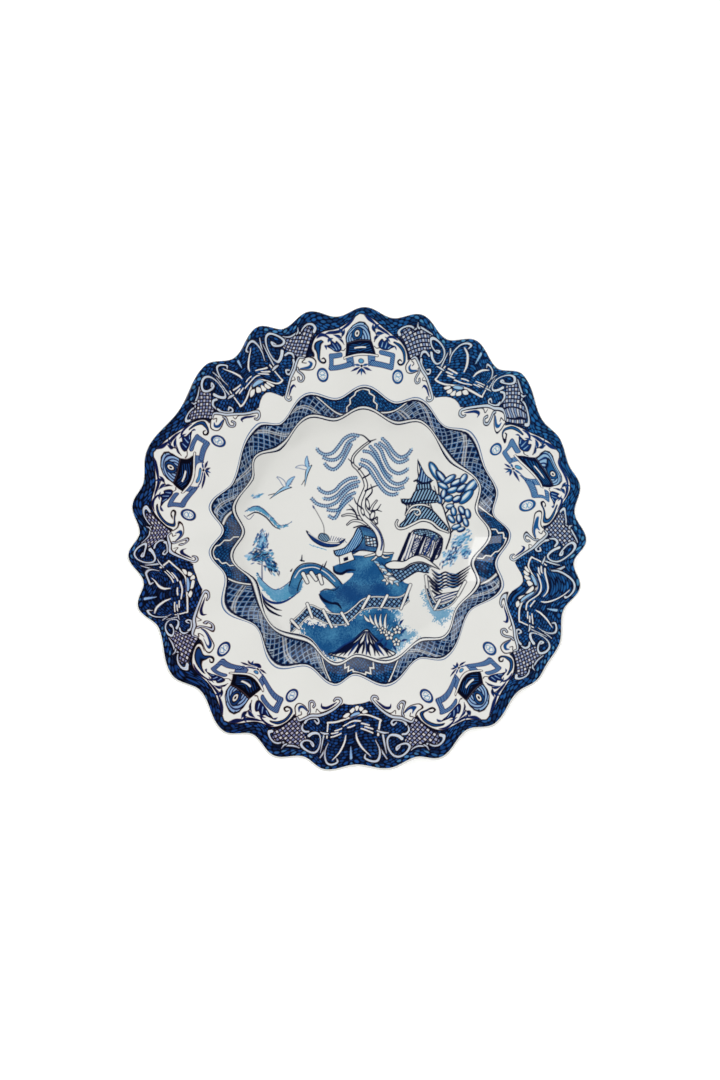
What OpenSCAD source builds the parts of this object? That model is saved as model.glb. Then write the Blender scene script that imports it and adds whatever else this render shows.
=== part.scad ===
// Dinner plate in glazed porcelain with a free-form scalloped rim.
// The well has a flat floor, a waved shoulder and a broad rim, and the plate stands on a turned foot ring.
// The printed decoration is made of transfers, thin layers fired on to the body:
// five border strips on the rim, one band round the well, the scene in the middle and a mark underneath.
// Millimetres, +Z up, origin in the middle of the foot ring's underside, the scene's top towards +Y.

/* [Plate] */
// Mean diameter across the scalloped rim
plate_d = 275; // [225:1:330]
// Mean width of the rim, from the well's shoulder to the lip
rim_w = 49; // [38:0.5:60]
// Rise of the rim from the well's shoulder to the lip
rim_rise = 7; // [3:0.5:14]
// Half of the difference between the rim's long (Y) and short (X) diameters
rim_oval = 1.5; // [0:0.1:4]
// Thickness of the body in the well and under the rim
body_t = 4.5; // [3.5:0.1:6]

/* [Well] */
// Mean width of the well's wall, from the flat floor to the shoulder
wall_w = 22.5; // [18:0.5:30]
// Depth from the shoulder down to the floor
well_depth = 9.5; // [7:0.5:16]

/* [Lip] */
// Thickness of the lip
lip_t = 4; // [3:0.1:6]
// Chamfer of the lip's two edges
lip_edge = 1.2; // [0.5:0.1:1.4]
// Height of a full lobe of the scalloped outline
lobe_h = 3.5; // [0:0.1:5]
// Height of a full lobe of the shoulder
shoulder_lobe_h = 4; // [0:0.1:5]
// How far the lip rises at a full lobe and falls at a full dip
flute_h = 0.8; // [0:0.1:2]

/* [Foot ring] */
// Distance of the foot ring's outer edge from the edge of the well's floor
foot_out = 7; // [3:0.5:10]
// Width of the foot ring at the body
foot_w = 5; // [3:0.5:8]
// Height of the foot ring
foot_h = 3; // [1.5:0.5:6]
// Slope taken off each side of the foot ring
foot_taper = 0.8; // [0:0.1:1.2]
// Flat margin of the underside outside the foot ring
foot_margin = 1; // [0.5:0.5:3]

/* [Transfers] */
// Thickness of a fired transfer
print_t = 0.2; // [0.1:0.05:0.4]
// Direction of the middle of the first border strip
first_repeat = 90; // [0:2:90]
// Gap between the well's shoulder and the border strips
border_gap = 6; // [3:0.5:12]
// Bare margin between the border strips and the lip
border_margin = 1.8; // [1.5:0.1:4]
// How far the scene reaches up the wall from the floor
scene_reach = 6; // [3:0.5:8]
// Distance of the band's inner edge from the scene
band_gap = 2; // [1:0.5:4]
// Bare margin between the band and the shoulder
band_margin = 0.5; // [0.5:0.5:2]
// Diameter of the mark under the plate
mark_d = 30; // [15:1:60]

/* [Hidden] */

glaze_white = [0.91, 0.905, 0.89];
biscuit = [0.86, 0.83, 0.77];
cobalt = [0.10, 0.20, 0.45];
mid_blue = [0.22, 0.42, 0.66];

// Crests and dips of the scalloped rim in turn: [direction in degrees, share of a full lobe]
rim_wave = [
    [0, 0.9], [7, -0.8], [14, 0.9], [20, 0], [26, 0.3], [33, -0.8], [45, 1.3], [51, -0.9],
    [59, 0.8], [66, -1.4], [74, 1], [81, -0.7], [88, 0.7], [95, -0.8], [102, 0.8], [109, -0.8],
    [115, 1.2], [124, -1.3], [131, 0.8], [144, -0.9], [157, 0.7], [165, -0.4], [171, 0.7], [178, -0.9],
    [184, 1.1], [191, -0.9], [197, 1], [204, -1.1], [216, 0.8], [224, -1.3], [235, 1.2], [242, -1],
    [249, 0.7], [256, -0.7], [262, 0.7], [270, -0.5], [278, 0.5], [285, -0.4], [291, 1], [300, -1.2],
    [307, 0.6], [316, -0.7], [323, 0.6], [327, 0.4], [332, 0.6], [341, -1], [348, 0.7], [354, -1]
];

// Crests and dips of the well's shoulder in turn: [direction in degrees, share of a full lobe]
shoulder_wave = [
    [2, 1.3], [11, -0.9], [20, 0.6], [28, 0.3], [43, 1.8], [53, -0.2], [66, 1.5], [75, -0.3],
    [87, 1.5], [98, -0.3], [109, 1.5], [123, -0.8], [131, 1.2], [155, -1.2], [167, 1], [176, -1.5],
    [185, 0.5], [195, -1.2], [207, 0.8], [221, -1.8], [237, 0.9], [249, -1.4], [261, 0.3], [269, -1.5],
    [282, 0.6], [297, -1.7], [307, 0.4], [327, -1.8], [342, 1.3], [351, -0.5]
];

rim_r = plate_d / 2;
shoulder_r = rim_r - rim_w;
floor_r = shoulder_r - wall_w;
scene_r = floor_r + scene_reach;
band_r = scene_r + band_gap;
foot_r = floor_r + foot_out;
flat_r = foot_r + foot_margin;

floor_z = foot_h + body_t;
shoulder_z = floor_z + well_depth;

// Repeats of the border pattern, one strip each
repeats = 5;

// Degrees between the sections round the plate, and the sections in a turn and in one border strip
turn_step = 2;
turns = 360 / turn_step;
strip_turns = turns / repeats;

// Radial steps: shares of the way over each stretch of the surface
scene_steps = [0, 0.5, 1];
band_steps = [0, 0.5, 1];
border_steps = [0, 0.33, 0.67, 1];
under_steps = [0.7, 0.35, 0];

// Value between two ends, eased with half a cosine wave so that crests and dips are round
function ease(t) = (1 - cos(180 * t)) / 2;
function mix(a, b, t) = a + (b - a) * t;

// Offset of a wave list in a direction: eased from each crest or dip to the next, and round the turn
function wave_at(list, a) =
    let (
        n = len(list),
        i = a < list[0][0] ? n - 1 : max([for (k = [0 : n - 1]) if (list[k][0] <= a) k]),
        from = list[i],
        to = list[(i + 1) % n],
        span = (to[0] - from[0] + 360) % 360,
        gone = (a - from[0] + 360) % 360
    )
    mix(from[1], to[1], ease(gone / span));

function turn_of(a) = (a + 720) % 360;
function rim_wave_at(a) = wave_at(rim_wave, turn_of(a));

// Radius of the outline and of the shoulder in a direction
function outline_r(a) = rim_r - rim_oval * cos(2 * a) + lobe_h * rim_wave_at(a);
function shoulder_at(a) = shoulder_r + shoulder_lobe_h * wave_at(shoulder_wave, turn_of(a));

// Height of the glazed upper surface at a radius in a direction:
// a flat floor, an eased wall up to the waved shoulder, then the rim with its flutes
function top_z(a, r) =
    let (s = shoulder_at(a), t = (r - s) / (outline_r(a) - s))
    r <= floor_r ? floor_z
    : r <= s ? floor_z + well_depth * ease((r - floor_r) / (s - floor_r))
    : shoulder_z + rim_rise * t + flute_h * t * t * rim_wave_at(a);

function on_top(a, r) = [r, top_z(a, r)];

// Upper surface of each stretch in a direction, as [radius, height] points from the middle outwards
function scene_line(a) = [for (t = scene_steps) on_top(a, mix(floor_r, scene_r, t))];
function band_line(a) = [for (t = band_steps) on_top(a, mix(band_r, shoulder_at(a) - band_margin, t))];
function border_line(a) =
    [for (t = border_steps) on_top(a, mix(shoulder_at(a) + border_gap, outline_r(a) - border_margin, t))];

// Lip, from its upper edge round to its lower edge
function lip_line(a) =
    let (r = outline_r(a), z = top_z(a, r))
    [[r - lip_edge, z], [r, z - lip_edge], [r, z - lip_t + lip_edge], [r - lip_edge, z - lip_t]];

// Underside, from the lip in to the flat that the foot ring stands on
function under_line(a) =
    let (
        lip_in = outline_r(a) - lip_edge,
        lip_z = top_z(a, outline_r(a)) - lip_t,
        knee_r = shoulder_at(a) + body_t / 2,
        knee_z = shoulder_z - body_t
    )
    [
        for (t = under_steps) [mix(knee_r, lip_in, t), mix(knee_z, lip_z, t)],
        for (t = under_steps) [mix(flat_r, knee_r, t), mix(foot_h, knee_z, ease(t))]
    ];

function body_line(a) = concat(scene_line(a), band_line(a), [on_top(a, shoulder_at(a))], border_line(a),
                               lip_line(a), under_line(a));

// Closed section of a transfer that lies on a line: out along its raised face and back along the line
function layer_section(line) =
    concat([for (p = line) [p[0], p[1] + print_t]], [for (i = [len(line) - 1 : -1 : 0]) line[i]]);

function in_space(p, a) = [p[0] * cos(a), p[0] * sin(a), p[1]];

// Two triangles between points j and k of sections m and n, each of w points.
// The diagonal always joins the inner point of one section to the outer point of the next,
// so that a transfer and the body below it share the same faces.
function facet_pair(sections, m, n, j, k, w) =
    sections[m][j][0] <= sections[m][k][0]
    ? [[m * w + j, m * w + k, n * w + k], [m * w + j, n * w + k, n * w + j]]
    : [[m * w + j, m * w + k, n * w + j], [m * w + k, n * w + k, n * w + j]];

// Solid turned about the axis from open sections that start above and end below the axis
module turned_disc(sections, angles, top, bottom) {
    w = len(sections[0]);
    n = len(sections);
    points = [for (i = [0 : n - 1]) each [for (p = sections[i]) in_space(p, angles[i])],
              [0, 0, top], [0, 0, bottom]];
    faces = [
        for (i = [0 : n - 1])
            let (next = (i + 1) % n)
            each concat(
                [for (j = [0 : w - 2]) each facet_pair(sections, i, next, j, j + 1, w)],
                [[n * w, i * w, next * w]],
                [[n * w + 1, next * w + w - 1, i * w + w - 1]]
            )
    ];
    polyhedron(points, faces);
}

// Ring, or a stretch of one with flat ends, from closed sections
module turned_ring(sections, angles, closed) {
    w = len(sections[0]);
    n = len(sections);
    points = [for (i = [0 : n - 1]) each [for (p = sections[i]) in_space(p, angles[i])]];
    sides = [
        for (i = [0 : closed ? n - 1 : n - 2], j = [0 : w - 1])
            each facet_pair(sections, i, (i + 1) % n, j, (j + 1) % w, w)
    ];
    ends = closed ? [] : [[for (j = [w - 1 : -1 : 0]) j], [for (j = [0 : w - 1]) (n - 1) * w + j]];
    polyhedron(points, concat(sides, ends));
}

round_angles = [for (i = [0 : turns - 1]) i * turn_step];

module body()
    color(glaze_white)
        turned_disc([for (a = round_angles) body_line(a)], round_angles, floor_z, foot_h);

module foot_ring()
    color(biscuit)
        rotate_extrude($fn = turns)
            polygon([
                [foot_r - foot_w, foot_h],
                [foot_r - foot_w + foot_taper, 0],
                [foot_r - foot_taper, 0],
                [foot_r, foot_h]
            ]);

// One of the border strips; its ends lie halfway between the middles of two repeats
module border_transfer(number) {
    start = first_repeat + (number - 1.5) * 360 / repeats;
    angles = [for (i = [0 : strip_turns]) start + i * turn_step];
    color(cobalt)
        turned_ring([for (a = angles) layer_section(border_line(a))], angles, false);
}

module band_transfer()
    color(cobalt)
        turned_ring([for (a = round_angles) layer_section(band_line(a))], round_angles, true);

module centre_transfer()
    color(mid_blue)
        turned_disc([for (a = round_angles) layer_section(scene_line(a))], round_angles,
                    floor_z + print_t, floor_z);

module backstamp_transfer()
    color(cobalt)
        translate([0, 0, foot_h - print_t])
            cylinder(d = mark_d, h = print_t, $fn = turns);

body();
foot_ring();
border_transfer(1);  // border_transfer_1
border_transfer(2);  // border_transfer_2
border_transfer(3);  // border_transfer_3
border_transfer(4);  // border_transfer_4
border_transfer(5);  // border_transfer_5
band_transfer();
centre_transfer();
backstamp_transfer();
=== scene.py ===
"""China dinner plate: a glazed body on a bare foot ring, with blue transfers printed as strips, a band and a
scene.

Sizes inside this file are in millimetres and degrees, measured from the middle of the foot ring's underside;
meshes are put into Blender in metres. The top of the printed scene points towards +Y.
"""

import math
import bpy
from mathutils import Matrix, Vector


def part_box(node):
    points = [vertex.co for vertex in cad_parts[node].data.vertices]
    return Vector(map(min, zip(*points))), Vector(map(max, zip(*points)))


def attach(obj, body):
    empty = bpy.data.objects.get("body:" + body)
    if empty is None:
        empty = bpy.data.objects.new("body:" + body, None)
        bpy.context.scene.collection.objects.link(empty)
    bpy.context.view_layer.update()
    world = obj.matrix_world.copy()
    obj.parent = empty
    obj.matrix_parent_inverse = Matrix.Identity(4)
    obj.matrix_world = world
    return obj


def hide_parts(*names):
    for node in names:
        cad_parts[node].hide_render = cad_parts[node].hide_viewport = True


bl_info = {
    "name": "China Dinner Plate",
    "version": (1, 0, 0),
    "blender": (4, 5, 0),
    "location": "3D View > Sidebar > Plate",
    "description": "Builds a scalloped blue and white dinner plate around its packed model",
    "category": "Add Mesh",
}

import bpy
import numpy as np
from bpy.props import FloatProperty, FloatVectorProperty, IntProperty, PointerProperty
from mathutils import Vector

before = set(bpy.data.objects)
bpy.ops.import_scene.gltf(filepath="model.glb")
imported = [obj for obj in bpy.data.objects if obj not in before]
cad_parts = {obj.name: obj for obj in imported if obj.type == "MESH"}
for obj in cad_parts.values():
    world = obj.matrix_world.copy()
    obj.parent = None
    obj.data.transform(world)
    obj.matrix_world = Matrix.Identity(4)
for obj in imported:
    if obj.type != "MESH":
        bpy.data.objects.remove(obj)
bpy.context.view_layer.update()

MM = 0.001


def box_mm(node):
    """Lowest and highest corners of a CAD node, in millimetres."""
    low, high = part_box(node)
    return np.array(low) / MM, np.array(high) / MM


BODY_HIGH = box_mm("body")[1]
FOOT_HIGH = box_mm("foot_ring")[1]
SCENE_LOW = box_mm("centre_transfer")[0]
MARK_HIGH = box_mm("backstamp_transfer")[1]

FOOT_R = FOOT_HIGH[1]
FOOT_H = FOOT_HIGH[2]
FOOT_OUT = 7.0
FLOOR_R = FOOT_R - FOOT_OUT
FLOOR_Z = SCENE_LOW[2]
WALL_W = 22.5
SHOULDER_R = FLOOR_R + WALL_W
WELL_DEPTH = 9.5
SHOULDER_Z = FLOOR_Z + WELL_DEPTH
RIM_W = 49.0
RIM_R = SHOULDER_R + RIM_W
RIM_RISE = 7.0
RIM_OVAL = 1.5
LOBE_H = 3.5
SHOULDER_LOBE_H = 4.0
FLUTE_H = 0.8
BODY_T = FLOOR_Z - FOOT_H
LIP_T = 4.0
LIP_ROUND = 1.7
SHOULDER_BLEND = 1.6
REPEATS = 5
FIRST_REPEAT = 90.0
# Radius at which the border is drawn true to size, as a share of the rim's middle radius
DRAWN_AT = 1.0237

# Crests and dips of the scalloped rim in turn: (direction, share of a full lobe), as in the CAD part
RIM_WAVE = (
    (0, 0.9), (7, -0.8), (14, 0.9), (20, 0), (26, 0.3), (33, -0.8), (45, 1.3), (51, -0.9),
    (59, 0.8), (66, -1.4), (74, 1), (81, -0.7), (88, 0.7), (95, -0.8), (102, 0.8), (109, -0.8),
    (115, 1.2), (124, -1.3), (131, 0.8), (144, -0.9), (157, 0.7), (165, -0.4), (171, 0.7), (178, -0.9),
    (184, 1.1), (191, -0.9), (197, 1), (204, -1.1), (216, 0.8), (224, -1.3), (235, 1.2), (242, -1),
    (249, 0.7), (256, -0.7), (262, 0.7), (270, -0.5), (278, 0.5), (285, -0.4), (291, 1), (300, -1.2),
    (307, 0.6), (316, -0.7), (323, 0.6), (327, 0.4), (332, 0.6), (341, -1), (348, 0.7), (354, -1),
)

# Crests and dips of the well's shoulder in turn, as in the CAD part
SHOULDER_WAVE = (
    (2, 1.3), (11, -0.9), (20, 0.6), (28, 0.3), (43, 1.8), (53, -0.2), (66, 1.5), (75, -0.3),
    (87, 1.5), (98, -0.3), (109, 1.5), (123, -0.8), (131, 1.2), (155, -1.2), (167, 1), (176, -1.5),
    (185, 0.5), (195, -1.2), (207, 0.8), (221, -1.8), (237, 0.9), (249, -1.4), (261, 0.3), (269, -1.5),
    (282, 0.6), (297, -1.7), (307, 0.4), (327, -1.8), (342, 1.3), (351, -0.5),
)

# How far the middle of the border print wanders from its true circle, mm
DRIFT_WAVE = (
    (0, -1), (15, 7), (30, -1.5), (50, 6), (64, -1), (88, 3), (97, 0), (103, 1.5),
    (116, -2.5), (122, 5), (132, -2), (148, 3.5), (160, -3.5), (170, 3.5), (178, -1), (185, 6),
    (193, -2.5), (204, 2.5), (211, -1), (222, 5.5), (233, -6), (244, 2.5), (253, -1.5), (262, 3),
    (271, -3), (280, 1.5), (287, -1), (298, 5), (309, -5.5), (318, 4), (332, 1), (339, -2),
    (345, 4), (352, -3.5),
)

# Crests and dips of the band's inner edge, mm from its mean circle
BAND_EDGE_WAVE = (
    (3, 5.5), (14, -0.5), (25, 6.5), (41, -1), (61, 6.5), (72, -0.5), (87, 5), (100, -1),
    (112, 5), (130, -2.5), (141, 4.5), (150, -1.5), (164, 2), (176, -6), (188, 1.5), (203, -8.5),
    (225, -1.5), (243, -8), (260, 1), (270, -5), (286, 1), (302, -3.5), (313, 4), (326, -1.5),
    (340, 2.5), (349, -4),
)
BAND_EDGE_R = 74.5

# Where the border's sheet stretched as it was laid: (direction, hundredths across the rim, degrees along it)
STRETCH = (
    (89.3, 92, -0.7), (90, 70, 0), (89, 50, -1), (88.5, 25, -1.5), (101.8, 28, -2.2), (76, 26, 0),
    (100.5, 45, -3),
    (101.5, 78, 0), (107, 68, 0), (73, 68, 0), (56, 55, 2), (56.7, 28, 2.7), (41.5, 75, 7), (36.5, 55, 4),
    (33, 24, 1), (23.3, 92, 5.3), (18, 66, 0.5), (21, 52, 3), (24.5, 30, 6.5), (11.5, 24, 7.5), (3, 70, 1.5),
    (340, 60, -2), (347.5, 28, 5.5), (324.6, 70, 2.1), (320.7, 30, 0.7), (305.7, 100, -0.3), (307.7, 68, 1.7),
    (308.7, 38, 2.7), (307.5, 15, 1.5), (294, 22, 2), (288, 65, -1.5), (268.2, 58, -1.8), (270, 26, 0),
    (251, 65, 0.5), (247.3, 15, -0.7), (233.7, 100, -0.3), (232.3, 60, -1.7), (232.7, 38, -1.3),
    (229.3, 16, -4.7),
    (219.3, 28, -0.7), (211, 75, -6.5), (196, 55, -2), (192.7, 22, -5.3), (177.5, 60, -1), (171.5, 24, -4.5),
    (156.7, 92, -5.3), (158.7, 68, -3.3), (160, 50, -2), (155.3, 20, -6.7), (144.5, 24, -3.5),
    (139.5, 78, -6),
    (124, 55, -2), (121.7, 30, -4.3),
)


def ease(t):
    """Half a cosine wave from 0 to 1."""
    return (1 - np.cos(np.pi * np.clip(t, 0, 1))) / 2


def mix(a, b, t):
    """Straight mix of two values."""
    return a + (b - a) * t


def wave(points, angle):
    """Offset in a direction, eased with half a cosine wave from each crest or dip to the next."""
    table = np.array(points, float)
    marks = np.concatenate([[table[-1, 0] - 360], table[:, 0], [table[0, 0] + 360]])
    values = np.concatenate([[table[-1, 1]], table[:, 1], [table[0, 1]]])
    turn = np.mod(angle, 360)
    i = np.clip(np.searchsorted(marks, turn, side="right") - 1, 0, len(marks) - 2)
    return mix(values[i], values[i + 1], ease((turn - marks[i]) / (marks[i + 1] - marks[i])))


def outline(angle):
    """Radius of the lip: a slightly oval circle plus the lobes."""
    return RIM_R - RIM_OVAL * np.cos(2 * np.radians(angle)) + LOBE_H * wave(RIM_WAVE, angle)


def shoulder(angle):
    """Radius of the well's shoulder: a circle plus its lobes."""
    return SHOULDER_R + SHOULDER_LOBE_H * wave(SHOULDER_WAVE, angle)


def band_edge(angle):
    """Radius of the line where the scene ends and the band begins."""
    return BAND_EDGE_R + wave(BAND_EDGE_WAVE, angle)


def from_cartouche(angle, share):
    """Degrees from the middle of the nearest cartouche on the printed sheet, for a direction and hundredths
    across the rim: the direction less the nearby stretches, which are weighted by 1 / (distance squared + 12)
    squared, with the distance in mm."""
    table = np.array(STRETCH)
    along = (np.mod(angle[..., None] - table[:, 0] + 180, 360) - 180) * 2.1
    across = (share[..., None] - table[:, 1]) * 0.49
    weight = (along**2 + across**2 + 12) ** -2
    moved = angle - (weight * table[:, 2]).sum(axis=-1) / weight.sum(axis=-1)
    step = 360 / REPEATS
    return np.abs(np.mod(moved - FIRST_REPEAT + step / 2, step) - step / 2)


def top_height(angle, radius):
    """Height of the glazed face: flat floor, eased wall up to the shoulder, straight rim with flutes
    that grow with the square of the distance, and a quarter circle over the lip."""
    inner = shoulder(angle)
    outer = outline(angle)
    wall = FLOOR_Z + WELL_DEPTH * ease((radius - FLOOR_R) / (inner - FLOOR_R))
    share = (radius - inner) / (outer - inner)
    rim = SHOULDER_Z + RIM_RISE * share + FLUTE_H * share**2 * wave(RIM_WAVE, angle)
    over = np.clip(radius - (outer - LIP_ROUND), 0, LIP_ROUND)
    drop = LIP_ROUND - np.sqrt(LIP_ROUND**2 - over**2)
    blend = ease((radius - inner + SHOULDER_BLEND) / (2 * SHOULDER_BLEND))
    return np.where(radius < FLOOR_R, FLOOR_Z, mix(wall, rim, blend)) - drop


def colour(red, green, blue):
    """Scene-linear colour from display values between 0 and 255."""
    share = np.array([red, green, blue]) / 255
    return tuple(float(v) for v in np.where(share <= 0.04045, share / 12.92,
                                            ((share + 0.055) / 1.055) ** 2.4))


# ---------------------------------------------------------------- settings


class PlateInks(bpy.types.PropertyGroup):
    """Colours of the glaze, the bare clay and the printed inks."""
    glaze: FloatVectorProperty(name="Glaze", description="White body seen through the clear glaze",
                               default=colour(210, 210, 207), subtype="COLOR", min=0, max=1)
    biscuit: FloatVectorProperty(name="Biscuit", description="Bare clay of the foot ring",
                                 default=colour(214, 205, 190), subtype="COLOR", min=0, max=1)
    milk: FloatVectorProperty(name="Milk", description="White left inside the border, tinted by its inks",
                              default=colour(196, 206, 212), subtype="COLOR", min=0, max=1)
    pale: FloatVectorProperty(name="Pale wash", description="Thinnest blue wash",
                              default=colour(138, 176, 204), subtype="COLOR", min=0, max=1)
    water: FloatVectorProperty(name="Water", description="Turquoise wash of water and far hills",
                               default=colour(76, 142, 178), subtype="COLOR", min=0, max=1)
    mid: FloatVectorProperty(name="Middle blue", description="Wash of roofs, ground and pebbles",
                             default=colour(20, 76, 128), subtype="COLOR", min=0, max=1)
    slate: FloatVectorProperty(name="Slate blue", description="Fine hatching of frets and plinths",
                               default=colour(34, 72, 122), subtype="COLOR", min=0, max=1)
    azure: FloatVectorProperty(name="Azure", description="Brighter stones of the grounds",
                               default=colour(30, 94, 154), subtype="COLOR", min=0, max=1)
    cobalt: FloatVectorProperty(name="Cobalt", description="Strong blue of leaves and outlines",
                                default=colour(10, 40, 94), subtype="COLOR", min=0, max=1)
    navy: FloatVectorProperty(name="Navy", description="Darkest blue of grounds and lines",
                              default=colour(2, 10, 42), subtype="COLOR", min=0, max=1)


class PlateShape(bpy.types.PropertyGroup):
    """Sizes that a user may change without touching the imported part."""
    print_step: FloatProperty(name="Print step", description="Spacing of the printed surfaces' points, mm",
                              default=0.27, min=0.2, max=2.0)
    print_rise: FloatProperty(name="Print rise", description="Height of a fired print over the body, mm",
                              default=0.03, min=0.01, max=0.2)
    body_turns: IntProperty(name="Body sections", description="Sections round the body",
                            default=720, min=180, max=1440)
    set_up: FloatProperty(name="Print shift", description="How far the border print sits off centre, mm",
                          default=0.5, min=0, max=2)


class PlateLight(bpy.types.PropertyGroup):
    """Studio settings."""
    floor: FloatVectorProperty(name="Floor", description="Colour of the pale floor",
                               default=(0.97, 0.97, 0.97), subtype="COLOR", min=0, max=1)
    lens: FloatProperty(name="Lens", description="Focal length of the camera, mm", default=100, min=35,
                        max=200)
    frame_h: FloatProperty(name="Framed height", description="Height of the picture at the plate, m",
                           default=0.6534, min=0.2, max=2.0, subtype="DISTANCE", unit="LENGTH")


def inks():
    """The inks' colours as arrays."""
    group = bpy.context.scene.plate_inks
    return {name: np.array(getattr(group, name)) for name in group.bl_rna.properties.keys()
            if name not in ("rna_type", "name")}


# ---------------------------------------------------------------- printing


def curve(points, closed=False, per_span=7):
    """Smooth line through the points: a Catmull-Rom spline, each column taken alike."""
    p = np.array(points, float)
    if closed:
        p = np.concatenate([p[-1:], p, p[:2]])
    else:
        p = np.concatenate([2 * p[:1] - p[1:2], p, 2 * p[-1:] - p[-2:-1]])
    t = np.linspace(0, 1, per_span, endpoint=False)[:, None]
    spans = [0.5 * (2 * b + (c - a) * t + (2 * a - 5 * b + 4 * c - d) * t**2 + (3 * b - a - 3 * c + d) * t**3)
             for a, b, c, d in zip(p[:-3], p[1:-2], p[2:-1], p[3:])]
    line = np.concatenate(spans)
    return line if closed else np.concatenate([line, p[-2:-1]])


def hashed(*cells):
    """Repeatable value from 0 to 1 for each cell of a pattern."""
    total = sum(c * k for c, k in zip(cells, (127.1, 311.7, 74.7)))
    return np.mod(np.sin(total) * 43758.5453, 1)


class Print:
    """Inks laid one over another on a set of flat points, given in millimetres."""

    def __init__(self, x, y, scale=(1.0, 1.0), soft=0.28):
        self.x = x
        self.y = y
        self.scale = np.array(scale)
        self.soft = soft
        self.ink = inks()
        self.rgb = np.tile(self.ink["glaze"], (x.size, 1))

    def shade(self, tone, where):
        """An ink by name, a plain colour, or a pattern worked out at the points."""
        if callable(tone):
            return tone(self, self.x[where], self.y[where])
        return self.ink[tone] if isinstance(tone, str) else np.array(tone)

    def lay(self, where, gap, tone, strength=1.0):
        """Covers the points up to a signed distance of zero, fading over one grain of the print."""
        cover = np.clip(0.5 - gap / self.soft, 0, 1)[:, None] * strength
        self.rgb[where] += cover * (self.shade(tone, where) - self.rgb[where])

    def near(self, line, reach):
        low = line.min(axis=0) - reach
        high = line.max(axis=0) + reach
        return np.nonzero((self.x > low[0]) & (self.x < high[0]) & (self.y > low[1]) & (self.y < high[1]))[0]

    def gaps(self, where, line, half):
        """Signed distance from a line of changing half-width: the least, over its pieces, of distance less
        width."""
        px = self.x[where]
        py = self.y[where]
        best = np.full(where.size, 1e9)
        for (ax, ay), (bx, by), ha, hb in zip(line[:-1], line[1:], half[:-1], half[1:]):
            dx = bx - ax
            dy = by - ay
            t = np.clip(((px - ax) * dx + (py - ay) * dy) / (dx * dx + dy * dy + 1e-12), 0, 1)
            away = np.hypot(px - ax - t * dx, py - ay - t * dy) - (ha + (hb - ha) * t)
            np.minimum(best, away, out=best)
        return best

    def stroke(self, points, width, tone, sharp=False, strength=1.0):
        """Line through the points; width is one number or one for each point."""
        flat = np.array(points, float) * self.scale
        widths = np.broadcast_to(np.array(width, float), (len(flat),))
        both = np.column_stack([flat, widths])
        line = both if sharp else curve(both)
        half = np.maximum(line[:, 2], 0.1) / 2
        where = self.near(line[:, :2], half.max() + self.soft)
        if where.size:
            self.lay(where, self.gaps(where, line[:, :2], half), tone, strength)

    def ribbon(self, points, width, core="glaze", edge="navy", rim=0.45, sharp=False):
        """Line of one ink between two thin lines of another."""
        self.stroke(points, np.array(width, float) + 2 * rim, edge, sharp)
        self.stroke(points, width, core, sharp)

    def fill(self, points, tone, sharp=False, strength=1.0, edge=None, edge_w=0.5, ragged=0.0):
        """Area inside a closed outline, by counting crossings. A ragged edge wanders and breaks into
        grains."""
        flat = np.array(points, float) * self.scale
        line = flat if sharp else curve(flat, closed=True)
        ring = np.concatenate([line, line[:1]])
        where = self.near(line, self.soft + edge_w + ragged)
        if not where.size:
            return
        px = self.x[where]
        py = self.y[where]
        inside = np.zeros(where.size, bool)
        for (ax, ay), (bx, by) in zip(ring[:-1], ring[1:]):
            if ay != by:
                inside ^= ((ay > py) != (by > py)) & (px < (bx - ax) * (py - ay) / (by - ay) + ax)
        away = self.gaps(where, ring, np.zeros(len(ring)))
        gap = np.where(inside, -away, away)
        if ragged:
            grain = hashed(np.floor(px / 0.55), np.floor(py / 0.55)) - 0.5
            gap = gap + ragged * (1.3 * grain + 0.35 * np.sin(px * 0.9 + 2 * np.sin(py * 0.7)))
        self.lay(where, gap, tone, strength)
        if edge:
            self.lay(where, np.abs(gap) - edge_w / 2, edge, strength)

    def blob(self, centre, size, tone, turn=0.0, edge=None, edge_w=0.5, strength=1.0):
        """Ellipse of the given half-sizes, turned by an angle in degrees."""
        cx, cy = np.array(centre, float) * self.scale
        rx, ry = np.array(size, float) * self.scale
        reach = max(rx, ry) + self.soft + edge_w
        where = self.near(np.array([[cx, cy]]), reach)
        if not where.size:
            return
        c = math.cos(math.radians(turn))
        s = math.sin(math.radians(turn))
        px = (self.x[where] - cx) * c + (self.y[where] - cy) * s
        py = (self.y[where] - cy) * c - (self.x[where] - cx) * s
        gap = (np.hypot(px / rx, py / ry) - 1) * min(rx, ry)
        self.lay(where, gap, tone, strength)
        if edge:
            self.lay(where, np.abs(gap) - edge_w / 2, edge, strength)

    def leaf(self, base, tip, width, tone, bend=0.0, edge=None):
        """Pointed leaf from its base to its tip, bowed sideways by a share of its length."""
        a = np.array(base, float)
        b = np.array(tip, float)
        d = b - a
        side = np.array([-d[1] * self.scale[1] / self.scale[0], d[0] * self.scale[0] / self.scale[1]])
        line = [a + d * t + side * bend * 4 * t * (1 - t) for t in (0, 0.2, 0.45, 0.75, 1)]
        widths = np.array([0.25, 0.75, 1.0, 0.6, 0.1]) * width
        if edge:
            self.stroke(line, widths + 0.8, edge)
        self.stroke(line, widths, tone)


def blend_tones(low, high, share):
    """Mix of two inks by an amount at each point."""
    return low + (high - low) * share[:, None]


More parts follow.
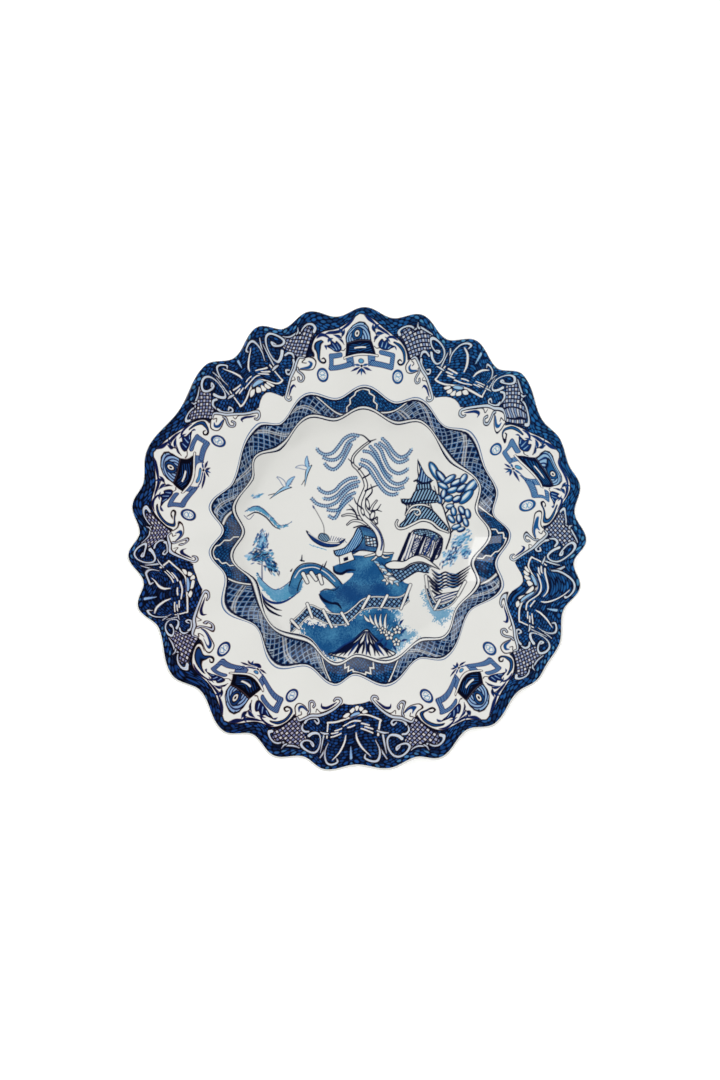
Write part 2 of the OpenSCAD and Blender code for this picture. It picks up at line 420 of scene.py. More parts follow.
def pebbles(size, tilt=0.0, low="navy", high="mid", light=None, bright=0.35):
    """Rounded stones in staggered rows, each of its own size and tone."""
    def tone(art, x, y):
        c = math.cos(math.radians(tilt))
        s = math.sin(math.radians(tilt))
        along = (x * c + y * s) / size[0]
        across = (y * c - x * s) / size[1]
        row = np.floor(across)
        shift = along + 0.5 * np.mod(row, 2) + 0.25 * np.sin(row * 1.7)
        cell = np.floor(shift)
        chance = hashed(cell, row)
        fx = shift - cell - 0.5 + 0.12 * (chance - 0.5)
        fy = across - row - 0.5
        far = np.hypot(fx / (0.47 + 0.09 * chance), fy / (0.46 + 0.06 * hashed(row, cell)))
        rise = np.clip(2.4 - 2.4 * far, 0, 1)
        out = blend_tones(art.ink[low], art.ink[high], rise * (bright + (1 - bright) * hashed(cell, row, 3)))
        if light:
            shine = rise**2 * np.clip(hashed(row, cell, 7) * 3 - 2.2, 0, 0.8)
            out = out + (art.ink[light] - out) * shine[:, None]
        return out
    return tone


def trellis(pitch, turn=40.0, line="navy", bright="glaze", dim="azure", wire=0.18):
    """Crossed lines with squares of two tones between them."""
    def tone(art, x, y):
        c = math.cos(math.radians(turn))
        s = math.sin(math.radians(turn))
        a = (x * c + y * s) / pitch
        b = (y * c - x * s) / pitch
        fa = np.abs(a - np.floor(a) - 0.5)
        fb = np.abs(b - np.floor(b) - 0.5)
        open_part = np.clip((0.5 - wire - np.maximum(fa, fb)) * pitch / 0.22 + 0.5, 0, 1)
        other = np.mod(np.floor(a) + np.floor(b), 2)
        inner = blend_tones(art.ink[bright], art.ink[dim], np.where(other > 0, 0.75,
                                                                    0.15 + 0.35 * hashed(np.floor(a),
                                                                                         np.floor(b))))
        return art.ink[line] + (inner - art.ink[line]) * open_part[:, None]
    return tone


def hatch(pitch, turn=0.0, low="slate", high="pale", duty=0.4):
    """Fine parallel lines in two tones."""
    def tone(art, x, y):
        phase = (x * math.sin(math.radians(turn)) - y * math.cos(math.radians(turn))) / pitch
        share = np.clip((np.abs(phase - np.floor(phase) - 0.5) - 0.5 + duty / 2) * pitch / 0.2 + 0.5, 0, 1)
        return blend_tones(art.ink[low], art.ink[high], share * 0.9)
    return tone


def rings(centre, pitch, low="cobalt", high="glaze", duty=0.5):
    """Fine rings round a point, in two tones."""
    def tone(art, x, y):
        cx, cy = np.array(centre) * art.scale
        phase = np.hypot(x - cx, y - cy) / pitch
        share = np.clip((np.abs(phase - np.floor(phase) - 0.5) - 0.5 + duty / 2) * pitch / 0.22 + 0.5, 0, 1)
        return blend_tones(art.ink[low], art.ink[high], share * 0.9)
    return tone


# ---------------------------------------------------------------- border print
# Half of one repeat, from the middle of its cartouche (0) to the middle of the dark panel (36).
# Points are (degrees from the middle, hundredths of the way from the shoulder to the lip).

ARCH = [(0, 92.5), (2, 89.5), (5, 86), (8, 81), (10.5, 74.5), (13, 66), (14.8, 58), (15.8, 50)]
GROUND_EDGE = [(17, 52), (18, 56), (19.5, 52.5), (21, 47), (24, 41), (26.5, 34.5), (28.5, 28.5), (30, 24),
               (31.5, 21), (33, 24), (34.5, 26), (38, 27)]
TRELLIS_PATCH = [(12, 79), (12.6, 83.5), (14, 84), (15.2, 80.5), (15.8, 82), (17, 85), (18.5, 86.5), (20, 89),
                 (20.6, 84), (21.5, 79.5), (21, 74), (20, 70), (19, 66), (18.6, 60), (17.5, 55), (16.3, 51.5),
                 (15.8, 55), (14.2, 63), (12.6, 70), (11.6, 75)]


def border_ground(art):
    """Dark pebbled ground over the arch and the panel, larger scales along the lip and a trellis patch."""
    dark = ARCH + GROUND_EDGE + [(38, 103), (-2, 103), (-2, 93)]
    art.fill(dark, pebbles((2.7, 1.7), 16, "navy", "azure", None, 0.08), sharp=True)
    lip_strip = [(-1, 94), (4, 92), (9, 86), (13, 90), (18, 92), (24, 94), (30, 95), (38, 95), (38, 103),
                 (-1, 103)]
    art.fill(lip_strip, pebbles((3.3, 2.1), -28, "navy", "azure", "water", 0.25))
    art.stroke([(-1, 100.6), (38, 100.6)], 0.9, "navy", sharp=True)
    art.stroke(ARCH, 0.7, "navy")
    art.fill(TRELLIS_PATCH, trellis(1.9, 38), edge="navy", edge_w=0.6)


def border_cartouche(art):
    """Dome on a box over a key fret, with leaves in the arch and a sprig below."""
    art.fill([(-1, 82.5), (0, 82.5), (1.5, 81), (2.7, 76.5), (3.3, 70), (3.4, 62), (-1, 62)],
             rings((0, 65), 1.5, "cobalt", "pale", 0.55), sharp=True, edge="navy", edge_w=0.7)
    art.blob((0, 70), (1.5, 7), "mid", edge="navy", edge_w=0.5)
    art.blob((0, 70), (0.75, 4.4), "glaze", edge="navy", edge_w=0.6)
    art.blob((0, 70), (0.3, 1.8), "navy")
    art.blob((1.7, 79.5), (0.27, 1.1), "navy")
    art.blob((3.1, 71.5), (0.27, 1.1), "navy")
    art.fill([(-1, 61.5), (3.6, 61.5), (4.9, 45), (-1, 45)], "navy", sharp=True)
    art.fill([(-1, 58), (2.7, 58), (3.7, 47.8), (-1, 47.8)], hatch(1.4, 20, "navy", "mid", 0.45), sharp=True)
    art.stroke([(-1, 53), (1.5, 53)], 0.9, "glaze", sharp=True)
    art.ribbon([(-1, 43.6), (5.4, 43.6)], 1.0, sharp=True)
    art.fill([(2.3, 42.5), (4.6, 42.5), (4.6, 33), (2.3, 31)], hatch(0.7, 0, "mid", "pale", 0.3), sharp=True,
             edge="cobalt", edge_w=0.4)
    art.stroke([(3.5, 34.3), (11.2, 34.3), (10.8, 49), (6.6, 49)], 3.3, "cobalt", sharp=True)
    art.stroke([(3.5, 34.3), (11.2, 34.3), (10.8, 49), (6.6, 49)], 2.5, hatch(0.9, 45, "mid", "pale", 0.25),
               sharp=True)
    art.leaf((0, 28), (1.6, 21.5), 1.5, "cobalt")
    art.leaf((0.6, 29), (3.6, 26), 1.5, "cobalt")
    art.leaf((0.4, 31), (2.4, 33), 1.3, "mid")
    art.leaf((0, 28), (0, 20), 1.3, "mid")
    art.blob((0, 30.5), (0.4, 1.6), "navy")
    art.blob((0, 36), (0.8, 2.5), "water", edge="cobalt", edge_w=0.4)


def border_arch_leaves(art):
    """Leaves and buds that fill the arch beside the dome."""
    art.stroke([(1.2, 89.5), (2.8, 85.5), (5.4, 81.2)], [0.4, 2.3, 0.5], "cobalt")
    art.stroke([(4.6, 81.5), (6.2, 79.8), (7.6, 78.2), (8.9, 75.2)], [1.6, 2.2, 1.8, 0.4], "cobalt")
    art.stroke([(8, 68.5), (8.6, 72.6), (9.8, 73.6), (11.4, 69.5)], [0.5, 1.6, 1.9, 0.5], "cobalt")
    curl = [(10.5, 66.5), (12.3, 63), (13.9, 57), (14.6, 50.5), (14.8, 46), (14.4, 42), (13.5, 40.6),
            (12.9, 43),
            (13.3, 46.5), (14, 45.5)]
    art.stroke(curl, [1.4, 2.1, 2.0, 1.7, 1.5, 1.3, 1.2, 1.1, 1, 0.6], "navy")
    art.stroke(curl[:6], [0.3, 0.9, 0.9, 0.7, 0.5, 0.3], "mid")
    art.fill([(5.9, 55.5), (5.6, 60), (6.6, 67.5), (7.3, 65), (8.2, 69), (8.8, 63.8), (10.6, 61), (9.7, 57.5),
              (8.8, 54.5), (7.2, 53.4)], "cobalt", edge="navy", edge_w=0.5)
    for base, tip in (((6.6, 57), (6.9, 63.5)), ((7.8, 56.5), (8.2, 64.5)), ((8.9, 57), (9.6, 60.5))):
        art.stroke([base, tip], [1.1, 0.4], "mid")
        art.stroke([base, tip], [0.5, 0.2], "pale")
    art.stroke([(6, 55), (5, 53.5), (4.3, 55.5)], 0.6, "navy")
    for base, tip, width in (((4.6, 73), (3.8, 81.5), 2.0), ((4.9, 71), (7.0, 76), 2.2),
                             ((4.4, 63.5), (5.8, 71), 1.5),
                             ((4.4, 77), (5.4, 85), 1.6), ((7.4, 71.5), (9.2, 66), 1.3),
                             ((10.6, 62), (11.6, 57), 1.1)):
        art.leaf(base, tip, width, "cobalt", 0.08)
        art.stroke([base, tip], 0.3, "mid")
    art.stroke([(4.3, 61), (5.0, 69), (4.2, 77), (6.8, 79)], 0.5, "navy")


def border_scrolls(art):
    """White scrolls with navy outlines over the ground and the trellis."""
    ribbons = [
        ([(11.7, 76.5), (11.2, 80.5), (11.7, 84.3), (13, 86), (14.4, 84.8), (15.4, 81.6)],
         [2, 2, 1.6, 1.3, 1.2, 0.8]),
        ([(15.4, 82.2), (16.3, 85.6), (18.2, 87), (20.2, 90.3)], [1, 1.2, 1.2, 0.6]),
        ([(15.7, 90), (15.9, 86), (16.4, 84.6)], [0.3, 1.1, 1.3]),
        ([(22.9, 79.5), (23.9, 81.3), (23.8, 78.2), (22.4, 77.6), (20.9, 80), (20.3, 85), (21.4, 90),
          (23.2, 91.3),
          (24.9, 87.3), (26, 79.5), (26.3, 71), (26, 65), (25, 61.8), (23.6, 63.4), (22.5, 67), (21.8, 71.5)],
         [1, 1.6, 1.6, 1.4, 1.5, 1.8, 1.8, 1.6, 1.4, 1.3, 1.3, 1.5, 1.8, 2.2, 2.4, 2.6]),
        ([(27, 88.5), (28.2, 78), (29.2, 67)], [0.8, 1.3, 0.6]),
        ([(27.3, 60), (27.1, 70), (26.9, 82)], [1.6, 1.3, 0.5]),
        ([(25.6, 58.5), (27.2, 58.2), (28.8, 56.8)], [0.6, 1.6, 1.2]),
        ([(29.3, 68.5), (28.6, 76), (28.6, 84), (29.4, 91.5), (30.9, 93.8), (32.4, 92), (32.2, 87.5)],
         [0.6, 1, 1.3, 1.5, 1.6, 1.5, 0.7]),
        ([(21.4, 66.2), (20.2, 67.8), (19.2, 64.5), (19.2, 58)], [1.6, 1.8, 1.6, 0.8]),
        ([(19.6, 57), (20.2, 51.5), (21.8, 46.8), (23.4, 44.3), (24.4, 46.6), (23.8, 50.3), (22.7, 48.8)],
         [1.8, 1.9, 1.8, 1.7, 1.6, 1.6, 1.2]),
        ([(16.8, 53), (17.8, 56), (19.4, 51.5), (21, 46), (24, 40), (26.5, 33.5), (28.5, 27.5), (29.9, 22.5),
          (30.6, 18.5), (30, 14.8), (28.8, 14.6), (28.3, 17.2)],
         [0.8, 1.2, 1.4, 1.6, 1.7, 1.7, 1.6, 1.6, 1.5, 1.3, 1.1, 0.8]),
        ([(20, 45.5), (20.4, 41.5), (20.1, 36), (20.1, 31), (21, 28.3), (21.9, 30.8), (21.5, 34.4)], 0.9),
    ]
    for points, width in ribbons:
        art.ribbon(points, np.array(width) * 0.64, "milk", rim=0.6)
        art.stroke(points, 0.3, "azure", strength=0.35)
    art.stroke([(16.2, 50), (15.7, 43), (16, 38), (16.9, 35.4), (18.4, 37.2), (19.9, 42.8)], 0.7, "navy")
    art.stroke([(17, 46), (16.9, 41.5), (17.8, 39.2), (19.4, 42.6)], [0.6, 1.5, 1.8, 0.8], "mid")
    art.stroke([(17, 50.6), (17.9, 48.8), (17.6, 45.5)], 0.6, "navy")
    art.stroke([(24.2, 25.5), (24.6, 29), (26.3, 27.5), (28.1, 22.3), (29.2, 19)], [0.5, 1.6, 1.7, 1.2, 0.4],
               "cobalt")
    art.stroke([(22.7, 38.5), (22.9, 34.6), (24.6, 35.4), (26.8, 29.8), (29, 23.5)], 0.6, "navy")


def border_gem(art):
    """Oval jewel between the cartouche and the panel, with a fine net inside."""
    art.blob((14, 26.3), (1.85, 8.2), "mid", 8, edge="cobalt", edge_w=0.4)
    art.blob((14, 26.3), (1.3, 5.6), "glaze", 8)
    for points in ([(13.2, 28.5), (14, 31), (14.9, 28.5)], [(13.1, 25), (14.9, 27.6)],
                   [(13.1, 27.6), (14.9, 25)],
                   [(13.4, 23.5), (14, 21.6), (14.6, 23.5)]):
        art.stroke(points, 0.45, "water")


def border_panel(art):
    """Framed panel in the middle of the dark ground, with a lotus on its cup."""
    art.stroke([(28.6, 62), (28.1, 46), (28, 42.5), (31.5, 40.8), (36, 42), (40.5, 40.8)], 1.0, "glaze")
    for points in ([(30, 60.5), (33, 57.5)], [(30, 56), (32, 55)], [(31, 52.5), (33, 51.5)],
                   [(35, 53), (37, 54)],
                   [(33.5, 49), (36, 47.5), (38.5, 49)]):
        art.stroke(points, 0.8, "glaze")
    art.stroke([(31, 88), (33, 80), (34.2, 70), (34.5, 62)], [0.4, 1.0, 1.0, 0.5], "glaze")
    art.stroke([(36, 92), (36, 78)], [1.4, 0.3], "pale")
    for points in ([(36, 28.5), (35.1, 31), (36, 36.5), (36.9, 31)],
                   [(34.7, 30), (33.6, 33), (34.6, 37.5), (35.4, 33.5)],
                   [(33, 34), (32.1, 37), (33.6, 40.5), (34.2, 37)]):
        art.fill(points, "glaze", edge="navy", edge_w=0.5)
    art.fill([(34.6, 39), (36, 37.5), (38, 38.5), (37, 42), (35, 42)], "pale", edge="navy", edge_w=0.5)


def painted_side_shade(rgb, amount):
    """Painted shade: inks made darker and more purple where the amount is high, so the rest of the rim reads
    lighter, as a veil of reflected light would make it; each tone's share of the bare glaze is raised to a
    power above one.
    """
    white = inks()["glaze"]
    return white * (rgb / white)**(1 + amount[..., None] * np.array([0.15, 0.5, 0.62]))


def print_border(x, y, scale):
    """Colours of the border for points folded into half a repeat."""
    art = Print(x, y, scale, soft=0.3)
    for draw in (border_ground, border_panel, border_scrolls, border_cartouche, border_arch_leaves,
                 border_gem):
        draw(art)
    return art.rgb


# ---------------------------------------------------------------- band print
# Points are (direction in degrees, hundredths of the way from the band's inner edge to the shoulder).

# Middle of each stepped panel, and whether the curves beside it open outwards
BAND_PANELS = ((88, True), (-2, False), (271, False), (185, False))
BAND_SLANTS = (60, 72, 40, -22, 255, 238, 165, 150, 112, 128, 205, 222, 300, 316)


def basket(pitch):
    """Crossed light lines, and in each cell a dark stone or three bars."""
    def tone(art, x, y):
        a = (x + y) / pitch
        b = (x - y) / pitch
        ca = np.floor(a)
        cb = np.floor(b)
        fa = a - ca - 0.5
        fb = b - cb - 0.5
        kind = hashed(ca, cb)
        box = np.maximum(np.abs(fa), np.abs(fb))
        stone = np.clip((0.3 - box) * pitch / 0.4 + 0.5, 0, 1)
        out = blend_tones(art.ink["azure"], art.ink["navy"], np.maximum(stone, 0.4 + 0.5 * hashed(cb, ca)))
        bars = (np.abs(np.mod(fa * 2.6 + 0.5, 1) - 0.5) < 0.16) & (box < 0.4) & (kind < 0.25)
        wire = np.clip((box - 0.45) * pitch / 0.2 + 0.5, 0, 1) * (0.35 + 0.6 * hashed(ca, cb, 9))
        share = np.maximum(np.where(bars, 0.6, 0), wire * 0.85)
        return out + (art.ink["pale"] * 0.5 + art.ink["glaze"] * 0.5 - out) * share[:, None]
    return tone


def print_band(x, y, scale):
    """Colours of the band round the well."""
    art = Print(x, y, scale, soft=0.32)
    low = -60
    high = 330
    art.fill([(low, 0), (high, 0), (high, 99), (low, 99)], basket(3.7), sharp=True)
    for middle in BAND_SLANTS:
        for shift in (0, 1.5):
            art.stroke([(middle - 7 + shift, 8), (middle - 1 + shift, 55), (middle + 6 + shift, 92)], 0.5,
                       "glaze",
                       strength=0.6)
    for middle, opens in BAND_PANELS:
        far, near = (19.5, 6.8) if opens else (10.5, 19)
        side_curve = [(near, 6), (mix(near, far, 0.22), 24), (mix(near, far, 0.5), 50),
                      (mix(near, far, 0.78), 76),
                      (far, 97)]
        field = [(-a, b) for a, b in side_curve] + [(a, b) for a, b in side_curve[::-1]]
        art.fill([(middle + a, b) for a, b in field], pebbles((1.7, 1.4), 25, "navy", "azure", None, 0.1),
                 sharp=True)
        for side in (-1, 1):
            line = [(middle + side * a, b) for a, b in side_curve]
            art.stroke(line, 2.0, "navy")
            art.stroke(line, 0.7, "glaze")
        step = [(-6.6, 6), (-6.4, 40), (-4.8, 44), (-4.9, 66), (-2.9, 69), (-2.6, 80), (0, 84), (2.6, 80),
                (2.9, 69),
                (4.9, 66), (4.8, 44), (6.4, 40), (6.6, 6)]
        art.fill([(middle + a, b) for a, b in step], pebbles((1.6, 1.6), 45, "navy", "mid"), sharp=True)
        art.stroke([(middle + a, b) for a, b in step], 1.6, "navy", sharp=True)
        art.stroke([(middle + a, b) for a, b in step], 0.75, "glaze", sharp=True)
    art.stroke([(low, 2), (high, 2)], 0.8, "navy", sharp=True)
    art.stroke([(low, 9.5), (high, 9.5)], 1.0, "glaze", sharp=True)
    art.stroke([(low, 16), (high, 16)], 0.8, "navy", sharp=True)
    art.stroke([(low, 87), (high, 87)], 1.0, "navy", sharp=True)
    art.stroke([(low, 94), (high, 94)], 0.75, "glaze", sharp=True)
    art.stroke([(low, 98.5), (high, 98.5)], 0.55, "mid", sharp=True)
    return art.rgb


# ---------------------------------------------------------------- scene print
# Points are millimetres from the middle of the plate, X right and Y up the scene.


def frond(art, points):
    """Hanging willow spray: a pale stem with pairs of small leaves along it."""
    line = curve(points, per_span=9)
    step = np.hypot(*np.diff(line, axis=0).T)
    gone = np.concatenate([[0], np.cumsum(step)])
    art.stroke(points, [1.4] + [2.2] * (len(points) - 2) + [1.0], "water", strength=0.6)
    art.stroke(points, 0.35, "pale")
    for place in np.arange(0.5, gone[-1], 1.35):
        x = np.interp(place, gone, line[:, 0])
        y = np.interp(place, gone, line[:, 1])
        ahead = np.interp(place + 0.3, gone, line[:, 0]) - x, np.interp(place + 0.3, gone, line[:, 1]) - y
        turn = math.degrees(math.atan2(ahead[1], ahead[0]))
        c = math.cos(math.radians(turn + 90)) * 0.72
        s = math.sin(math.radians(turn + 90)) * 0.72
        art.blob((x + c, y + s), (0.66, 0.42), "cobalt", turn + 35)
        art.blob((x - c, y - s), (0.66, 0.42), "cobalt", turn - 35)


def dabs(art, centre, size, lean, count, tones, seed):
    """Brush dabs scattered over a leaning ellipse, dense in its middle."""
    c = math.cos(math.radians(lean))
    s = math.sin(math.radians(lean))
    for k in range(count):
        far = math.sqrt(hashed(k, seed, 1)) * (0.35 + 0.65 * hashed(k, seed, 5))
        way = 2 * math.pi * hashed(k, seed, 2)
        a = far * math.cos(way) * size[0]
        b = far * math.sin(way) * size[1]
        tone = tones[int(hashed(k, seed, 3) * len(tones) * 0.999)]
        art.blob((centre[0] + a * c - b * s, centre[1] + a * s + b * c),
                 (0.5 + 1.0 * hashed(k, seed, 4), 0.32 + 0.3 * hashed(k, seed, 6)), tone,
                 lean + 70 * (hashed(k, seed, 7) - 0.5), strength=0.85)


def wash(tone, grain=0.22):
    """Uneven wash of one ink: soft clouds and a fine grain."""
    def laid(art, x, y):
        cloud = (0.5 + 0.25 * np.sin(x * 0.33 + 1.3 * np.sin(y * 0.21))
                 + 0.25 * np.sin(y * 0.41 + np.sin(x * 0.27 + 1)))
        fine = hashed(np.floor(x / 0.6), np.floor(y / 0.6))
        share = np.clip(1.1 * (cloud - 0.3) + grain * (fine - 0.5) * 2, 0, 1)
        return blend_tones(art.ink[tone] * 0.85, art.ink["pale" if tone == "water" else "water"], share * 0.6)
    return laid


def scene_water(art):
    """Washes of the lake, the far shore and the banks."""
    art.fill([(-68.4, 17.5), (-62.9, 20.6), (-58.1, 19.4), (-52, 13.9), (-47.2, 9.1), (-42.4, 9.7),
              (-39.9, 11.3),
              (-44, 7.8), (-49, 8), (-55, 14.5), (-61, 17.5)], wash("water"), ragged=0.8)
    art.stroke([(-68.4, 17.5), (-62.9, 20.6), (-58.1, 19.4), (-52, 13.9), (-47.2, 9.1), (-42.4, 9.7),
                (-39.9, 11.3)],
               [0.4, 0.6, 0.7, 0.5, 0.4, 0.4, 0.3], "cobalt")
    art.stroke([(-67.2, 14.5), (-61.7, 16.9), (-55.7, 13.9), (-50.8, 8.5), (-47, 6.5)],
               [0.5, 0.9, 0.9, 0.8, 0.4], "navy")
    art.stroke([(-69, 15), (-66, 12.6), (-63, 15.5)], 0.4, "cobalt")
    art.fill([(-61, -20), (-58, -24.5), (-53, -29), (-49, -30.3), (-43.6, -27.5), (-37.5, -22), (-33, -26),
              (-35, -31),
              (-43.6, -36.9), (-50, -37.5), (-55, -33), (-60.5, -26.5)], wash("water"), ragged=0.9)
    art.fill([(-42, -29), (-37, -23), (-33.5, -26), (-35, -31), (-40, -33.5)], wash("mid"), strength=0.7)
    art.fill([(-34.5, -52), (-28, -51), (-22, -53), (-14.5, -53.8), (-3.6, -51.4), (4.8, -43.6),
              (16.9, -41.7),
              (26, -43.5), (25, -50), (31, -55), (37, -57.5), (29, -64), (20, -70.5), (0, -72), (-19.4, -70),
              (-26, -63), (-31.5, -57)], wash("water"), strength=0.9, ragged=2.6)
    art.fill([(-34, -51), (-24, -51.5), (-8, -51), (2, -44), (14, -41), (23, -42.5), (24, -51), (27, -59),
              (18, -68),
              (0, -73), (-18, -71), (-31, -62)], wash("mid", 0.35), ragged=2.6)
    art.fill([(40.5, -32), (43.5, -42), (50, -51), (55.5, -47.5), (58, -42), (52, -41.5), (46, -38)],
             wash("water"),
             strength=0.9, ragged=3.0)
    for points in ([(-58.7, -32.7), (-56, -38), (-50, -42), (-46, -43)],
                   [(-58, -37), (-54, -42.5), (-49, -45.5),
                    (-46, -46.5)]):
        art.stroke(points, [0.5, 1.5, 1.2, 0.4], "navy")
    art.stroke([(-61, -20), (-58, -24.5), (-53, -29), (-49, -30.3), (-43.6, -27.5), (-37.5, -22)], 0.5,
               "cobalt")
    art.stroke([(-60, -30), (-56, -36), (-50, -38.5), (-43, -37), (-35, -31.5)], [0.5, 1.3, 1.6, 1.2, 0.5],
               "cobalt")


def scene_island(art):
    """Main island with its shore, the shaded ground under the willow and the flowers on it."""
    shore = [(-14.5, -16.3), (-9.7, -13.9), (-4, -9.5), (4.8, -9.5), (14.5, -8), (22, -8), (21, -14),
             (25, -19),
             (28.5, -25.5), (32.7, -27.5), (31.5, -33), (28, -36), (16, -35.2), (4, -36.5), (-2.5, -42.5),
             (-9, -45.5), (-15.5, -44), (-19.4, -40), (-23, -35), (-22, -31.3), (-17, -30.2), (-10.9, -28.4),
             (-5, -24), (-2.4, -20.5), (-6, -20.3), (-12.1, -20)]
    art.fill(shore, wash("mid", 0.3))
    art.fill([(-14, -31), (-5, -26.5), (6, -27), (16, -26), (20, -31), (12, -34), (0, -37), (-10, -40)],
             "cobalt",
             strength=0.45, ragged=2.6)
    art.stroke([(-14.5, -16.3), (-13.5, -19.5), (-9.5, -20.6), (-5.5, -18.6), (-1, -18.4)],
               [0.8, 1.6, 1.8, 1.6, 0.5],
               "navy")
    art.stroke([(-23, -33.4), (-20.5, -36.5), (-16, -38.5), (-12, -39), (-9.5, -42)],
               [1.0, 1.9, 1.4, 1.8, 0.6], "navy")
    art.stroke([(-22.5, -31.5), (-19, -30), (-14, -30.6), (-10.9, -28.4)], [0.5, 0.8, 0.6, 0.4], "navy")
    art.stroke([(-19.4, -40.5), (-15, -44.2), (-8, -45.6)], 0.5, "cobalt")
    for k in range(9):
        base = (10.5 + 1.5 * k, -13 - 1.6 * k)
        tip = (14 + 1.6 * k, -16.5 - 1.35 * k - 2.2 * math.sin(k * 2.1))
        art.leaf(base, tip, 1.5, "glaze" if k % 2 else "pale", 0.1, edge="navy")
    for k in range(5):
        art.leaf((19.5, -23.5), (19.5 + 4.2 * math.cos(2.4 + k * 0.95),
                                 -24 + 3.6 * math.sin(2.4 + k * 0.95)), 1.7,
                 "glaze", 0.05, edge="navy")
    for points in ([(12, -15), (16, -22), (20, -27)], [(15, -14), (21, -21), (25, -23)]):
        art.stroke(points, 0.5, "navy")


def scene_fence(art, rail, posts, depth):
    """Fence: a lattice between two rails that follow the ground, and leaning posts."""
    top = np.array(rail, float)
    low = top - np.array(depth, float)
    art.fill(np.concatenate([curve(top), curve(low)[::-1]]), trellis(2.1, 52, "navy", "pale", "slate"),
             sharp=True)
    art.ribbon(top, 0.55, rim=0.35)
    art.ribbon(low, 0.45, rim=0.35)
    for head, foot in posts:
        art.ribbon([head, foot], [1.5, 1.2], rim=0.45, sharp=True)


def scene_bridge(art):
    """Arched bridge with its parapet, three openings and the path over it."""
    art.fill([(-41.5, -28.5), (-39.5, -22), (-37, -17.8), (-32.7, -15), (-25.4, -14.8), (-18.2, -18.2),
              (-12.5, -23.4),
              (-9, -27.6), (-12.4, -29.6), (-17, -24.6), (-21, -21.6), (-26, -20.8), (-31, -20.6),
              (-34.4, -24.2),
              (-36.5, -30)], wash("mid"))
    art.stroke([(-41.5, -28), (-39.5, -21.5), (-37, -17.3), (-32.7, -14.5), (-25.4, -14.4), (-18.2, -17.8),
                (-12.5, -22.8), (-8.6, -27.6)], 0.8, "navy")
    art.stroke([(-38, -23), (-35, -18.6), (-31, -17), (-25.4, -16.8), (-19, -20), (-13.6, -25.2)], 0.5,
               "glaze")
    art.stroke([(-36.5, -31), (-34.6, -25), (-31, -21), (-26, -21), (-21, -22), (-17, -25), (-12, -30)], 0.8,
               "navy")
    for head, foot in (((-33, -20.6), (-30.4, -25.8)), ((-28, -20), (-25, -24.2)),
                       ((-23, -21.6), (-21.5, -26.4))):
        art.ribbon([head, foot], [2.0, 1.6], "glaze", rim=0.6, sharp=True)
    for head, foot in (((-33.6, -9.2), (-33.9, -12.6)), ((-20.8, -14.8), (-22.4, -18.2)),
                       ((-39.6, -17.6), (-40.4, -19)),
                       ((-18.6, -13), (-20, -16.4))):
        art.stroke([head, foot], [0.5, 1.1], "navy")
    art.stroke([(-34.6, -12.4), (-32.4, -12.9)], 0.9, "navy")


def scene_house(art):
    """Small house on the island: two stacked roofs, lattice windows and a low wing."""
    art.fill([(-1.5, 1), (0, 6.5), (3, 8.2), (8, 6.6), (12, 2.6), (13.2, -2.6), (11, -7), (3, -6), (-3, -8.5),
              (-4.5, -3)], wash("slate", 0.3), edge="navy", edge_w=0.6)
    art.fill([(4.5, 2.8), (11.5, 1.2), (12.6, -4.4), (5.4, -3.4)], trellis(1.9, 8, "navy", "glaze", "pale"),
             sharp=True,
             edge="navy", edge_w=0.6)
    art.fill([(-13.8, -6.8), (-12.2, -9.6), (-6, -8.4), (0, -4.4), (3.2, 0.4), (2.6, 5.4), (0.4, 7.4),
              (-2.6, 1.6),
              (-7.4, -4.6)], hatch(1.15, 62, "mid", "pale"), edge="navy", edge_w=0.7)
    art.stroke([(-14.2, -6.4), (-12.2, -9.8), (-6, -8.6), (0.2, -4.6), (4, 1.4)], 0.8, "navy")
    art.stroke([(-2, 7.6), (3, 8.8), (8.6, 7)], 0.9, "navy")
    art.fill([(-11, -10), (-3.4, -7), (-1.6, -12), (-10.4, -15)], "glaze", sharp=True, edge="navy",
             edge_w=0.6)
    art.fill([(-8.4, -11), (-5.6, -10), (-5.2, -12.2), (-8, -13.2)], "navy", sharp=True)
    art.stroke([(-3.2, -7.4), (3.4, -6.4), (12.4, -7.6)], 0.7, "navy")


